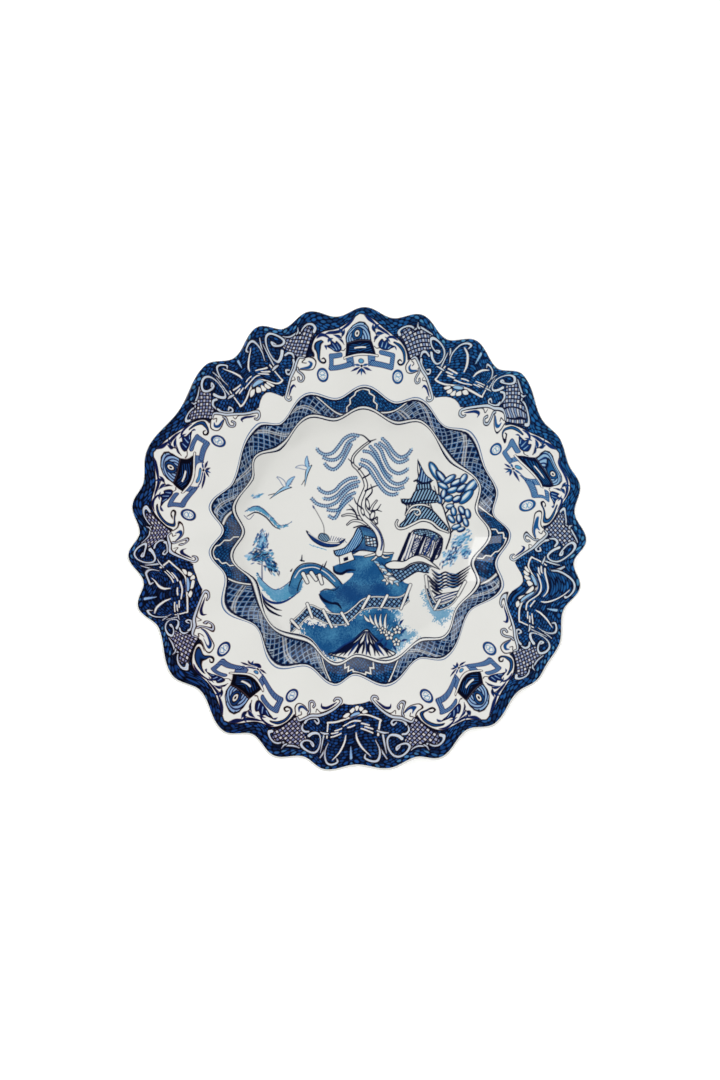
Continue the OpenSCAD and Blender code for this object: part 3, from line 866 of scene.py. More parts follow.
def scene_willow(art):
    """Willow: a leaning pale trunk with dark edges, its roots, bare twigs and hanging sprays."""
    for points in ([(13, -8), (8, -9.4), (4.6, -10.2)], [(13.6, -8), (11, -11), (9, -12.4)],
                   [(14, -8), (16.6, -10.6), (19.6, -10.4)], [(14, -7.6), (18, -8.4), (22, -8)]):
        art.ribbon(points, [1.1, 0.8, 0.3], rim=0.55)
    art.ribbon([(-9, 14.8), (-5, 15.6), (0, 14.4), (4, 12)], [0.3, 0.7, 1.0, 1.4], rim=0.6)
    art.ribbon([(-6, 9.4), (-3, 11.6), (1.4, 11.6), (6, 9.6)], [0.3, 0.6, 0.8, 1.2], rim=0.6)
    art.ribbon([(10.6, 8), (9.8, 12), (8.2, 16.4), (9.4, 20.6), (12, 24)], [1.6, 1.4, 1.0, 0.7, 0.3], rim=0.6)
    art.ribbon([(8.2, 16.4), (6, 19.4), (5.6, 23.4)], [1.0, 0.9, 0.3], rim=0.6)
    trunk = [(13.5, -8), (14.6, -3), (13.6, 2), (11.4, 6.4), (7.4, 10.6), (4.2, 13.6), (1.8, 18), (1.7, 23),
             (3.8, 28.5), (5.4, 33), (4, 38), (0.6, 43), (-2.5, 46.2), (-2.2, 51), (2.5, 56.2), (7.8, 60.2)]
    art.ribbon(trunk, [3.6, 3.0, 2.7, 2.5, 2.5, 2.3, 1.8, 1.6, 1.5, 1.4, 1.2, 1.0, 0.8, 0.7, 0.5, 0.4],
               rim=0.7)
    art.stroke([(14.6, -6), (15.3, -2), (14.4, 2.6), (12.2, 6.6), (8.4, 10.6)], [1.0, 1.2, 1.0, 0.9, 0.5],
               "cobalt")
    for points in ([(0.4, 13), (-1.6, 18), (-5, 21.6)], [(-1.2, 17), (-3.4, 18.6), (-6.4, 18.4)],
                   [(2.2, 20), (-0.6, 22.6), (-2, 26)], [(9, 18), (12, 18.4), (14.6, 21.8)],
                   [(12, 18.4), (15, 17.4)],
                   [(6.6, 26), (9.2, 29.6), (8.4, 34)], [(5, 30), (9.8, 32.4), (13.6, 33.6)],
                   [(9.4, 12), (12.4, 14), (12, 9.6)], [(3.8, 38), (7.6, 40.4), (7.2, 44)],
                   [(1, 43), (4.4, 46)],
                   [(-2.6, 47), (-5.4, 49.6)], [(7.8, 60.2), (4, 63.6), (0, 64.6)],
                   [(7.8, 60.2), (11.6, 61.6)]):
        art.stroke(points, [1.1, 0.9, 0.5] if len(points) == 3 else [1.0, 0.5], "navy")
    for centre, size, turn in (((6.4, 22), (1.0, 3.2), 12), ((9.4, 15), (1.3, 2.6), -20),
                               ((3.4, 17.4), (0.9, 2.2), 15),
                               ((11.4, 11.6), (0.9, 1.8), 30)):
        art.blob(centre, size, "glaze", turn, edge="navy", edge_w=0.6)
    for points in (
        [(1.2, 63.5), (-3, 64.2), (-7.6, 62), (-10.9, 57.8), (-14.8, 53.4), (-19.4, 52.2), (-23, 53.8),
         (-24.8, 56.3)],
        [(-1, 62.2), (-5.6, 59.4), (-9.1, 52.8), (-12.6, 49.4), (-17, 49), (-21, 50.6)],
        [(-3.4, 58.8), (-7.6, 50.6), (-10.3, 46.2), (-13.9, 43.2), (-17.5, 44.2), (-20, 47)],
        [(15.1, 62.3), (18.8, 58.7), (22.4, 53.6), (26.6, 50.6), (30.9, 52.2), (33.6, 55.9)],
        [(13.4, 59.6), (17.6, 56), (20.6, 51), (24.4, 47.6), (28.4, 48), (31.6, 50)],
        [(10.9, 58.7), (14.5, 55.1), (16.9, 49), (20, 43.4), (24.8, 40.7), (29, 41.9), (31.5, 44)],
        [(7.6, 57.6), (11.6, 53), (14.4, 46.6), (17.6, 41), (21.6, 37.8)],
        [(3.6, 54.4), (8.5, 53.2), (12.7, 48), (15.7, 42), (19.4, 36.8), (24.2, 34.2), (29, 35.5),
         (31.2, 38.3)],
        [(2.4, 49.2), (7.3, 47.4), (11.6, 42.4), (15, 36.6), (19, 32.4), (24, 31), (28.6, 32.4)],
        [(1.4, 46.6), (6.4, 44), (10, 39), (13.6, 33.4), (17.6, 29), (22, 27.6), (25.4, 28.8)],
        [(0, 38.1), (-4.8, 37.4), (-9.7, 34.3), (-13.4, 30.3), (-18.2, 28.6), (-22.4, 30.3), (-23.8, 32.4)],
        [(1.6, 35.8), (-4, 34.2), (-8.6, 30.8), (-12.4, 27), (-17, 25), (-21, 25.6)],
        [(0.6, 33.2), (-4.8, 31.1), (-9.1, 27), (-12.4, 23.2), (-18.2, 20.8), (-24.2, 22), (-27.8, 25.4)],
        [(-1, 29), (-6, 26.6), (-9.4, 21.8), (-11.4, 16.6), (-14, 13.2), (-17.6, 15)],
        [(-3, 26), (-7.4, 22.4), (-11, 18.6), (-15, 18), (-18.4, 18.6)],
    ):
        frond(art, points)


def scene_birds(art):
    """Two birds in flight above the lake."""
    for at, size, lean in (((-29.8, 42.2), 1.0, 62), ((-44.4, 31), 1.1, 18)):
        c = math.cos(math.radians(lean)) * size
        s = math.sin(math.radians(lean)) * size

        def place(a, b):
            return at[0] + a * c - b * s, at[1] + a * s + b * c

        art.leaf(place(1.5, 0.4), place(7.4, 4.8), 2.0, "pale", 0.1, edge="mid")
        art.leaf(place(0.6, 0.6), place(-1.6, 7.6), 2.0, "glaze", -0.12, edge="mid")
        art.stroke([place(-9.4, -2.6), place(-4, -0.6), place(0, 0.4), place(4, -0.2)], [0.3, 1.6, 2.4, 0.8],
                   "navy")
        art.stroke([place(-7.6, -2), place(-3, -0.2), place(1, 0.6), place(3.2, 0)], [0.2, 0.8, 1.5, 0.4],
                   "pale")
        art.stroke([place(-9.4, -0.4), place(-6, -0.6)], 0.5, "navy")
        for k in range(3):
            art.stroke([place(2.6 + k * 1.2, 1.2 + k * 0.8), place(4.6 + k * 0.9, 1.6 + k)], 0.35, "cobalt")


def scene_boat(art):
    """Flat boat with a low cabin, a mast and reeds beside it."""
    art.fill([(-31, 5.6), (-26, 1.8), (-19.4, -1.2), (-12.1, -1.6), (-7.3, 0.6), (-12, -3.6), (-20, -4),
              (-27, -0.4)],
             "cobalt", edge="navy", edge_w=0.6)
    art.stroke([(-29.6, 4.4), (-24, 0.6), (-18, -1.8), (-11, -2)], 0.5, "glaze")
    art.fill([(-23.6, 1), (-22.4, 4), (-18.6, 3.4), (-16.8, 0.4), (-19.6, -1)],
             hatch(0.9, 60, "navy", "pale"),
             edge="navy", edge_w=0.5)
    art.stroke([(-20, 3.2), (-20.6, 9.1), (-24.2, 16.3), (-26.2, 19.6)], [0.5, 0.45, 0.45, 0.4], "navy")
    art.leaf((-26, 19), (-27.2, 21.4), 1.1, "cobalt")
    for k in range(5):
        art.stroke([(-16.5 + k * 1.3, -0.6), (-15.6 + k * 1.5, 2.4 - 0.3 * k)], 0.4, "cobalt")
    for k in range(4):
        art.stroke([(-29 + k * 2.4, -2.6 - k * 0.8), (-26.6 + k * 2.6, -4 - k * 0.7)], 0.5, "water")
    for k in range(3):
        art.stroke([(-12 + k * 1.6, 1), (-9.6 + k * 1.6, -1.6)], 0.35, "cobalt")


def scene_trees(art):
    """Bushy tree on the left bank and the brush behind the pagoda."""
    art.stroke([(-58, -24), (-58, -14), (-57, -4), (-55, 4)], [1.0, 0.8, 0.5, 0.3], "cobalt", strength=0.8)
    dabs(art, (-58.4, -1), (8.2, 5.4), 75, 130, ("water", "mid", "cobalt", "pale"), 3)
    dabs(art, (-59, -9.5), (9.2, 6), 10, 150, ("mid", "cobalt", "navy", "water"), 5)
    dabs(art, (-52.6, -15.6), (8.4, 4.8), -50, 130, ("mid", "cobalt", "water", "navy"), 8)
    dabs(art, (-61, 26.8), (5.5, 2.2), 20, 14, ("pale", "water", "mid"), 11)
    dabs(art, (-66.4, -10), (2.4, 3.6), 10, 14, ("pale", "water"), 12)
    dabs(art, (64, 0.5), (9.5, 4.6), 38, 90, ("pale", "water", "mid", "water"), 15)
    dabs(art, (58, -9), (10.5, 6.4), 48, 120, ("mid", "water", "cobalt", "pale"), 17)
    dabs(art, (66.5, -8), (4.8, 4.4), 40, 40, ("mid", "water", "pale"), 19)


def scene_pagoda(art):
    """Temple on the right: a spire, two upper roofs, the curled main roof, slanting pillars and a terrace."""
    art.fill([(37.2, 48.6), (38.6, 42), (36.6, 35.4), (41, 33.6), (45.8, 36.2), (41.6, 40.4)],
             hatch(1.6, 80, "cobalt", "pale"), edge="navy", edge_w=0.6)
    art.stroke([(37.2, 49.4), (37, 43.6), (37.6, 39)], [0.4, 0.6, 0.9], "navy")
    art.stroke([(34.8, 35.9), (36.6, 36.4), (40.6, 34.6), (46.4, 36.4)], [1.0, 1.4, 1.4, 0.6], "navy")
    art.fill([(36.6, 34), (44.6, 34.6), (46.6, 28), (35, 27.6)], hatch(1.6, 95, "navy", "pale"), sharp=True,
             edge="navy", edge_w=0.6)
    art.fill([(27.6, 24.8), (32.6, 25.2), (35.4, 29.6), (41, 31.2), (47, 30), (49.6, 24), (45, 22.6),
              (36, 22),
              (30.4, 21)], hatch(1.7, 65, "navy", "pale", 0.4), edge="navy", edge_w=0.7)
    art.stroke([(26.8, 25.2), (28.2, 22.6), (34, 22.8), (42, 24.2), (50, 24)], [0.6, 1.2, 1.2, 1.0, 0.5],
               "navy")
    art.fill([(30.6, 21.6), (44.6, 22.6), (46.8, 17), (29.4, 16)], hatch(1.7, 100, "navy", "glaze"),
             sharp=True,
             edge="navy", edge_w=0.6)
    roof = [(26.2, 9.2), (29.4, 12.4), (31.4, 17.8), (35, 20.8), (40, 21), (46, 18), (50.4, 13.4),
            (55.8, 6.4),
            (50, 6.2), (45, 10.2), (39.6, 11.4), (33, 8.8), (28, 7)]
    art.fill(roof, hatch(1.7, 55, "navy", "pale", 0.4), edge="navy", edge_w=0.9)
    art.ribbon([(24.6, 12), (23.8, 9.6), (25.4, 7.2), (29, 7.4), (34, 9.8), (39.6, 12.2), (45.4, 11),
                (50.4, 7),
                (55.6, 4.8)], [0.5, 0.7, 0.9, 1.0, 1.0, 1.0, 1.0, 0.9, 0.6], rim=0.6)
    art.ribbon([(31.6, 16.6), (34, 18.6), (37.4, 18.6), (38.6, 16.4), (36.6, 15.2), (35.2, 16.6)],
               [0.8, 0.9, 0.9, 0.8, 0.7, 0.5], rim=0.5)
    art.ribbon([(29.8, 15.4), (33.4, 20.4), (39.6, 21.6), (44.6, 20.2)], [0.5, 0.8, 0.8, 0.5], rim=0.5)
    art.fill([(28.6, -12.6), (32.4, 3.4), (38, 6.6), (46, 5.4), (52.2, 0.2), (48.6, -11.6), (38, -8.6)],
             hatch(1.7, 72, "cobalt", "glaze", 0.6), edge="navy", edge_w=0.8)
    art.fill([(34.4, 4.6), (40, 6.6), (46.6, 4.8), (50.6, 1.2), (49.6, -1.6), (44, 1.6), (38.4, 2.8)],
             pebbles((1.6, 1.3), 10, "navy", "pale"), edge="navy", edge_w=0.7)
    for lean in (0, 7.0, 13.4):
        art.fill([(33.4 + lean, -7.4 - lean * 0.05), (35 + lean, -0.6), (37.2 + lean, 1.2),
                  (38.6 + lean, -1.4),
                  (36.6 + lean, -8)], pebbles((1.3, 1.3), 30, "cobalt", "glaze"), edge="navy", edge_w=0.7)
    for head, foot, wide in (((32.2, 3.8), (25.2, -13.6), 2.4), ((41.6, 3.2), (35.8, -9.4), 2.3),
                             ((51.6, 0.6), (45.6, -12.6), 2.6)):
        art.stroke([head, foot], [wide * 0.8, wide], "navy", sharp=True)
    art.stroke([(33.6, 2.4), (27.6, -12)], 0.7, "glaze", sharp=True)
    art.stroke([(47, 2.6), (41.2, -9)], [1.4, 1.2], "cobalt", sharp=True)
    art.fill([(17.2, -15), (22, -12.8), (28.4, -13), (33, -10.6), (37, -9.4), (43, -11.6), (50.4, -18),
              (44.6, -15.4),
              (39, -13.4), (33, -14.4), (28, -17.4), (20, -17.6)], "glaze", edge="navy", edge_w=0.8)
    art.fill([(21, -18.2), (28, -18.2), (33.4, -15.2), (39, -14.2), (44, -16), (49, -19.6), (42, -20),
              (36.6, -19.4),
              (30.4, -23), (25.6, -25)], trellis(2.0, 35, "navy", "slate", "pale"), edge="navy", edge_w=0.7)


def scene_cloud_tree(art):
    """Tree behind the pagoda with smooth oval clusters on crossing branches."""
    for points in ([(54.4, -5.4), (57.2, 4), (55, 12), (52.6, 20), (49, 27), (47, 33)],
                   [(57, 4), (61.6, 10), (64, 18)],
                   [(54, 16), (58.6, 22), (63.6, 28), (68, 34)], [(52, 21), (56, 28), (57.6, 36)],
                   [(50, 26), (49.6, 33), (47, 41)]):
        art.stroke(points, [1.0] * (len(points) - 1) + [0.4], "navy")
    clusters = [
        ((47.4, 42), (6.0, 2.3), 118), ((51.6, 38.4), (5.0, 2.0), 128), ((56.4, 37), (4.4, 1.9), 35),
        ((52.6, 33), (3.6, 1.8), 150), ((60.8, 35), (4.0, 2.0), 28), ((65, 37.4), (3.2, 1.9), 60),
        ((58.4, 30.6), (3.6, 1.9), 20), ((64, 31.6), (3.6, 2.0), 35), ((69.6, 32.6), (5.6, 2.7), 48),
        ((66.6, 26.4), (5.4, 2.4), 46), ((53, 28), (3.0, 2.0), 80), ((50, 25), (3.0, 1.7), 115),
        ((56, 25.4), (2.8, 2.1), 20), ((61, 25), (3.0, 2.0), 30), ((56.8, 20.4), (2.6, 1.7), 10),
        ((59, 17.4), (2.8, 1.8), 100), ((64, 18), (3.0, 1.9), 120), ((67.6, 16), (3.0, 1.8), 100),
        ((57.6, 12.8), (3.0, 1.7), 130), ((62.4, 13), (2.8, 1.9), 95), ((66.4, 10.8), (2.8, 1.7), 110),
        ((60.6, 8), (3.0, 1.7), 20), ((63.6, 6.4), (2.6, 1.4), 20),
    ]
    for k, (centre, size, turn) in enumerate(clusters):
        long, wide = size[0] * 1.12, size[1] * 1.2
        art.blob(centre, (long, wide), "navy", turn)
        art.blob(centre, (long - 0.6, wide - 0.55), ("mid", "cobalt", "slate")[k % 3], turn)
        art.blob((centre[0] - 0.25, centre[1] + 0.45), (long * 0.66, wide * 0.4), "pale", turn)
        art.blob((centre[0] - 0.35, centre[1] + 0.6), (long * 0.46, wide * 0.2), "glaze", turn)


def scene_rocks(art):
    """Striped rocks under the pagoda and in the foreground: bands of dark lines that follow each slope."""
    art.fill([(44.6, -17), (52, -18.6), (58, -17.4), (64, -18), (71, -13), (70, -22), (64, -30), (57, -34),
              (50, -33),
              (45, -26)], "glaze", strength=0.9)
    for k in range(5):
        drop = 2.5 * k
        art.stroke([(45.6 + k * 0.4, -18 - drop), (49.6, -21.4 - drop * 0.9), (54, -19.6 - drop * 0.8),
                    (59, -21.8 - drop * 0.7), (64, -19 - drop * 0.7), (70 - k, -15 - drop * 0.9)],
                   [0.6, 1.5, 1.0, 1.6, 1.1, 0.5], "navy")
        art.stroke([(47 + k * 0.4, -19 - drop), (52, -21.6 - drop * 0.8), (57, -20.4 - drop * 0.8),
                    (62, -21.4 - drop * 0.7)], [0.3, 0.5, 0.5, 0.3], "mid")
    for k in range(4):
        art.stroke([(43.4 + k * 0.8, -22 - k * 3.0), (46.4 + k * 0.8, -25.4 - k * 2.6),
                    (51 + k, -29 - k * 2.2)],
                   [0.9, 1.5, 0.5], "navy")
    art.fill([(51, -33), (57, -32), (63, -30.4), (66, -27), (62, -34.4), (56, -38), (50, -38.6), (47, -35)],
             hatch(1.5, 20, "cobalt", "glaze", 0.5), edge="navy", edge_w=0.5)
    ridge = [(-17, -70), (-11, -67.6), (-4, -62.6), (1.6, -57.4), (6, -54.6), (9.6, -58.4), (14, -63.6),
             (18.4, -66.6),
             (23.4, -69.4), (16, -72), (0, -73)]
    art.fill(ridge, "glaze", edge="navy", edge_w=0.9)
    for k in range(15):
        foot = mix(-16.5, 22, k / 14)
        bend = 0.9 * math.sin(2.3 * k)
        art.stroke([(mix(6, foot, 0.07), -55.8), (mix(6, foot, 0.38) + bend, -61.2),
                    (mix(6, foot, 0.7) - bend, -66),
                    (foot, -70.6)], [0.4, 1.0, 1.5 if k % 3 else 2.0, 0.5], "navy" if k % 4 else "cobalt")
    art.stroke([(-16, -70), (-9, -67.4), (-2.6, -63)], [0.6, 2.4, 0.8], "navy")


def scene_flowers(art):
    """Flowers and leaves in the foreground."""
    for k in range(5):
        art.leaf((8 + 2.6 * k, -50 - 1.8 * k), (4.4 + 3.4 * k, -46 + 0.2 * k), 1.3, "glaze", 0.1, edge="navy")
        art.leaf((10 + 2.2 * k, -53.4 - 1.6 * k), (14.4 + 2.4 * k, -49.4 - 1.2 * k), 1.5, "pale", -0.1,
                 edge="navy")
    for cx, cy, size in ((19.6, -58.4, 2.0), (24.6, -55, 1.9), (24, -62.4, 1.8), (15.6, -55.4, 1.6)):
        for k in range(5):
            way = 2 * math.pi * (k + 0.3) / 5
            art.blob((cx + size * 0.85 * math.cos(way), cy + size * 0.85 * math.sin(way)),
                     (size * 0.62, size * 0.5),
                     "glaze", math.degrees(way), edge="navy", edge_w=0.5)
        art.blob((cx, cy), (size * 0.32, size * 0.32), "mid", edge="navy", edge_w=0.4)
    for base, tip in (((16, -60), (11, -63)), ((18, -62), (15.6, -66)), ((27, -57), (30.6, -54)),
                      ((27, -62), (31, -61)),
                      ((26, -52), (28.6, -48.6)), ((22, -65), (24, -68))):
        art.leaf(base, tip, 1.5, "cobalt", 0.1)


def print_scene(x, y):
    """Colours of the scene in the well."""
    art = Print(x, y, soft=0.34)
    scene_water(art)
    scene_birds(art)
    scene_boat(art)
    scene_trees(art)
    scene_bridge(art)
    scene_island(art)
    scene_house(art)
    scene_willow(art)
    scene_cloud_tree(art)
    scene_pagoda(art)
    scene_rocks(art)
    scene_fence(art, [(43, -24.5), (44.4, -31), (48.4, -38.6), (55, -38), (60.5, -34), (64.6, -27)],
                [((42, -22), (42.8, -29)), ((50.6, -36.6), (47.4, -42.4)), ((66, -25.6), (61.4, -34))],
                (1.2, 3.6))
    scene_fence(art, [(-40.6, -50.6), (-35, -45.6), (-29, -40), (-23, -42), (-17, -44.6), (-8, -45),
                      (-2, -41), (3, -36.6),
                      (9, -34.8), (17, -34.8), (26, -34.8), (32, -30.6)],
                [((-40, -49), (-35.4, -54)), ((-30.4, -39), (-27.4, -47.4)), ((-20.6, -43), (-15.4, -53.2)),
                 ((-9.4, -44.6), (-5.4, -51.4)), ((7.4, -34.4), (3.2, -41.8)), ((18.4, -34), (14.8, -41)),
                 ((32.6, -27.4), (26.8, -42))], (0.4, 6.6))
    scene_flowers(art)
    return art.rgb


def print_mark(x, y):
    """Colours of the mark underneath: a plain sprig of leaves inside two rings."""
    art = Print(x, y, soft=0.3)
    for size, width in ((12.6, 0.8), (11.2, 0.35)):
        turn = np.radians(np.arange(0, 361, 15))
        art.stroke(np.column_stack([np.cos(turn), np.sin(turn)]) * size, width, "cobalt")
    art.stroke([(0, -7.6), (0.5, -1), (0, 6.4)], [0.7, 0.6, 0.3], "cobalt")
    for k, height in enumerate((-5.2, -2.4, 0.4, 3.0)):
        reach = 4.9 - 0.8 * k
        for side in (-1, 1):
            art.leaf((0.2, height), (side * reach, height + reach * 0.8), 1.7 - 0.15 * k, "cobalt",
                     0.14 * side)
    art.leaf((0, 5.4), (0, 9), 1.3, "cobalt")
    return art.rgb


# ---------------------------------------------------------------- meshes


def on_plate(angle, radius, height):
    """Points from a direction in degrees, a radius and a height."""
    turn = np.radians(angle)
    return np.stack(np.broadcast_arrays(radius * np.cos(turn), radius * np.sin(turn), height), axis=-1)


def quads(rows, columns, closed=False, first=0):
    """Faces between neighbouring rows and columns of a grid of points, round the columns when closed."""
    i = first + np.arange(rows - 1)[:, None] * columns
    j = np.arange(columns if closed else columns - 1)[None]
    k = (j + 1) % columns
    return np.stack([i + j, i + k, i + k + columns, i + j + columns], axis=-1).reshape(-1, 4)


def zip_edges(fine, coarse):
    """Triangles between a fine and a coarse row of points that start and end together."""
    last = len(fine) - 1
    meet = np.round(np.arange(len(coarse)) * last / (len(coarse) - 1)).astype(int)
    owner = np.searchsorted((meet[:-1] + meet[1:]) / 2, np.arange(last) + 0.5)
    turn = np.searchsorted(owner, np.arange(1, len(coarse)))
    along = np.stack([fine[:-1], fine[1:], coarse[owner]], axis=-1)
    across = np.stack([coarse[:-1], fine[turn], coarse[1:]], axis=-1)
    return np.concatenate([along, across])


def new_piece(name, points, four, three, material, smooth=True, ink=None):
    """Mesh object from points in millimetres, with its faces turned outwards: a closed shell whose signed
    volume, the sum of its tetrahedra to the origin, is negative has every face reversed."""
    flat = points.reshape(-1, 3)
    tris = np.concatenate([four[:, [0, 1, 2]], four[:, [0, 2, 3]], three.reshape(-1, 3)])
    volume = np.einsum("ij,ij->i", flat[tris[:, 0]], np.cross(flat[tris[:, 1]], flat[tris[:, 2]])).sum()
    if volume < 0:
        four = four[:, ::-1]
        three = three.reshape(-1, 3)[:, ::-1]
    mesh = bpy.data.meshes.new(name)
    corners = np.concatenate([four.ravel(), three.ravel()]).astype(np.int32)
    sizes = np.concatenate([np.full(len(four), 4), np.full(three.size // 3, 3)])
    mesh.vertices.add(len(flat))
    mesh.vertices.foreach_set("co", (flat * MM).astype(np.float32).ravel())
    mesh.loops.add(len(corners))
    mesh.loops.foreach_set("vertex_index", corners)
    mesh.polygons.add(len(sizes))
    mesh.polygons.foreach_set("loop_start", np.concatenate([[0], np.cumsum(sizes)[:-1]]).astype(np.int32))
    mesh.polygons.foreach_set("use_smooth", np.full(len(sizes), smooth))
    mesh.update(calc_edges=True)
    if mesh.validate():
        raise ValueError(f"{name} had broken faces")
    mesh.set_sharp_from_angle(angle=math.radians(50))
    if ink is not None:
        layer = mesh.attributes.new("ink", "FLOAT_COLOR", "POINT")
        rgba = np.ones((len(flat), 4), np.float32)
        rgba[:, :3] = ink
        layer.data.foreach_set("color", rgba.ravel())
    mesh.materials.append(material)
    piece = bpy.data.objects.new(name, mesh)
    bpy.context.scene.collection.objects.link(piece)
    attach(piece, "root")
    return piece


def slab(name, top, ink, back, material, ribs=13):
    """Thin closed layer: a fine grid for its face, a coarse copy of some of its rows moved by back for its
    underside, and walls between the two."""
    rows, columns = top.shape[:2]
    chosen = np.unique(np.round(np.linspace(0, rows - 1, ribs)).astype(int))
    under = top[chosen] + np.array([0, 0, back])
    first = rows * columns
    four = [
        quads(rows, columns),
        quads(len(chosen), columns, first=first)[:, ::-1],
    ]
    j = np.arange(columns - 1)
    for upper, lower, turn in ((0, first, 1), ((rows - 1) * columns, first + (len(chosen) - 1) * columns,
                                               -1)):
        wall = np.stack([upper + j, lower + j, lower + j + 1, upper + j + 1], axis=-1)
        four.append(wall[:, ::turn])
    three = []
    for column, turn in ((0, -1), (columns - 1, 1)):
        fine = np.arange(rows) * columns + column
        coarse = first + np.arange(len(chosen)) * columns + column
        three.append(zip_edges(fine, coarse)[:, ::turn])
    points = np.concatenate([top.reshape(-1, 3), under.reshape(-1, 3)])
    paint = np.concatenate([ink.reshape(-1, 3), ink.reshape(rows, columns, 3)[chosen].reshape(-1, 3)])
    return new_piece(name, points, np.concatenate(four), np.concatenate(three), material, ink=paint)


def turned(name, rows, material):
    """Closed solid from rows of points all the way round, its two ends closed by fans to their middles."""
    count, columns = rows.shape[:2]
    total = count * columns
    points = np.concatenate([rows.reshape(-1, 3), rows[0].mean(axis=0)[None], rows[-1].mean(axis=0)[None]])
    j = np.arange(columns)
    k = (j + 1) % columns
    last = total - columns
    fans = np.concatenate([
        np.stack([k, j, np.full(columns, total)], axis=-1),
        np.stack([last + j, last + k, np.full(columns, total + 1)], axis=-1),
    ])
    return new_piece(name, points, quads(count, columns, closed=True), fans, material)


def disc_grid(size, a, b):
    """Direction and radius for a square grid pressed into a disc: the larger coordinate gives the radius, and
    the smaller one, as a share of it, the direction within an eighth of a turn either way."""
    big = np.maximum(np.abs(a), np.abs(b))
    safe = np.where(big > 0, big, 1)
    wide = np.abs(a) >= np.abs(b)
    share = np.where(wide, b, a) / safe
    angle = np.where(wide, np.where(a >= 0, 45 * share, 180 - 45 * np.where(a < 0, share, 0)),
                     np.where(b >= 0, 90 - 45 * share, 270 + 45 * share))
    return angle, size * big


# ---------------------------------------------------------------- materials


class Socket:
    """Value socket with arithmetic: every operator adds one Math node."""

    def __init__(self, tree, output):
        self.tree = tree
        self.output = output

    def join(self, operation, *values):
        return Socket(self.tree, self.tree.node("ShaderNodeMath", {"operation": operation},
                                                dict(enumerate(values))).outputs[0])

    def __add__(self, other):
        return self.join("ADD", self, other)

    def __sub__(self, other):
        return self.join("SUBTRACT", self, other)

    def __rsub__(self, other):
        return self.join("SUBTRACT", other, self)

    def __mul__(self, other):
        return self.join("MULTIPLY", self, other)

    __radd__ = __add__
    __rmul__ = __mul__

    def clamp(self, low=0.0, high=1.0):
        return self.join("MINIMUM", self.join("MAXIMUM", self, low), high)


class Finish:
    """Node tree of one material, ending in a Principled shader."""

    def __init__(self, name):
        self.material = bpy.data.materials.new(name)
        self.material.use_nodes = True
        self.nodes = self.material.node_tree.nodes
        self.links = self.material.node_tree.links
        self.nodes.clear()
        self.shader = self.node("ShaderNodeBsdfPrincipled")
        output = self.node("ShaderNodeOutputMaterial")
        self.links.new(self.shader.outputs["BSDF"], output.inputs["Surface"])
        self.place = self.node("ShaderNodeTexCoord").outputs["Object"]

    def node(self, kind, settings=None, inputs=None):
        """Adds a node, sets its settings, then its sockets from numbers, colours, sockets or expressions."""
        made = self.nodes.new(kind)
        for key, value in (settings or {}).items():
            setattr(made, key, value)
        for key, value in (inputs or {}).items():
            self.put(made.inputs[key], value)
        return made

    def put(self, socket, value):
        if isinstance(value, Socket):
            value = value.output
        if isinstance(value, bpy.types.NodeSocket):
            self.links.new(value, socket)
        else:
            socket.default_value = value

    def set(self, **sockets):
        """Sets shader sockets, whose names are written with underscores."""
        for key, value in sockets.items():
            self.put(self.shader.inputs[key.replace("_", " ")], value)

    def noise(self, size, detail=2.0, roughness=0.5):
        """Noise from 0 to 1 with features of about the given size in millimetres."""
        made = self.node("ShaderNodeTexNoise", {"noise_dimensions": "3D"},
                         {"Vector": self.place, "Scale": 1 / (size * MM), "Detail": detail,
                          "Roughness": roughness})
        return Socket(self, made.outputs["Fac"])

    def blend(self, factor, first, second):
        """Mix of two colours by a value."""
        made = self.node("ShaderNodeMix", {"data_type": "RGBA"}, {"Factor": factor, 6: first, 7: second})
        return made.outputs[2]

    def bump(self, height, distance):
        """Normal from a height, one unit of which stands for distance millimetres."""
        made = self.node("ShaderNodeBump", {}, {"Height": height, "Distance": distance * MM, "Strength": 1.0})
        return made.outputs["Normal"]


def rgba(value):
    return (*value, 1.0)


def glaze_finish(name, printed):
    """Clear glossy glaze over the white body: faint cloudiness and specks in its colour, a slow ripple in its
    surface, and where printed, inks that pool and thin a little."""
    tone = bpy.context.scene.plate_inks
    finish = Finish(name)
    cloud = finish.noise(38, 2.0)
    speck = finish.noise(0.9, 2.0)
    white = np.array(tone.glaze)
    clean = finish.blend((cloud * 0.8 + speck * 0.2), rgba(white * (0.965, 0.965, 0.955)),
                         rgba(np.minimum(white * 1.03, 1)))
    if printed:
        ink = finish.node("ShaderNodeAttribute", {"attribute_name": "ink"}).outputs["Color"]
        lighter = finish.node("ShaderNodeGamma", {}, {"Color": ink, "Gamma": 0.9}).outputs["Color"]
        darker = finish.node("ShaderNodeGamma", {}, {"Color": ink, "Gamma": 1.08}).outputs["Color"]
        pool = (finish.noise(2.2, 3.0, 0.6) * 1.6 - 0.3).clamp()
        grain = (finish.noise(0.55, 2.0, 0.6) * 2.2 - 0.6).clamp()
        print_tone = finish.blend((pool * 0.55 + grain * 0.45), darker, lighter)
        dark = finish.node("ShaderNodeRGBToBW", {}, {"Color": ink}).outputs["Val"]
        cover = ((float(white @ (0.2126, 0.7152, 0.0722)) - Socket(finish, dark)) * 14.0).clamp()
        clean = finish.blend(cover, clean, print_tone)
    finish.set(Base_Color=clean, Roughness=(finish.noise(6, 2.0) * 0.10 + 0.06), IOR=1.5,
               Specular_IOR_Level=0.0, Coat_Weight=1.0,
               Coat_Roughness=0.025, Coat_IOR=1.5)
    ripple = finish.noise(9, 1.0) * 0.75 + finish.noise(2.4, 1.0) * 0.25
    finish.set(Normal=finish.bump(ripple, 0.045))
    return finish.material


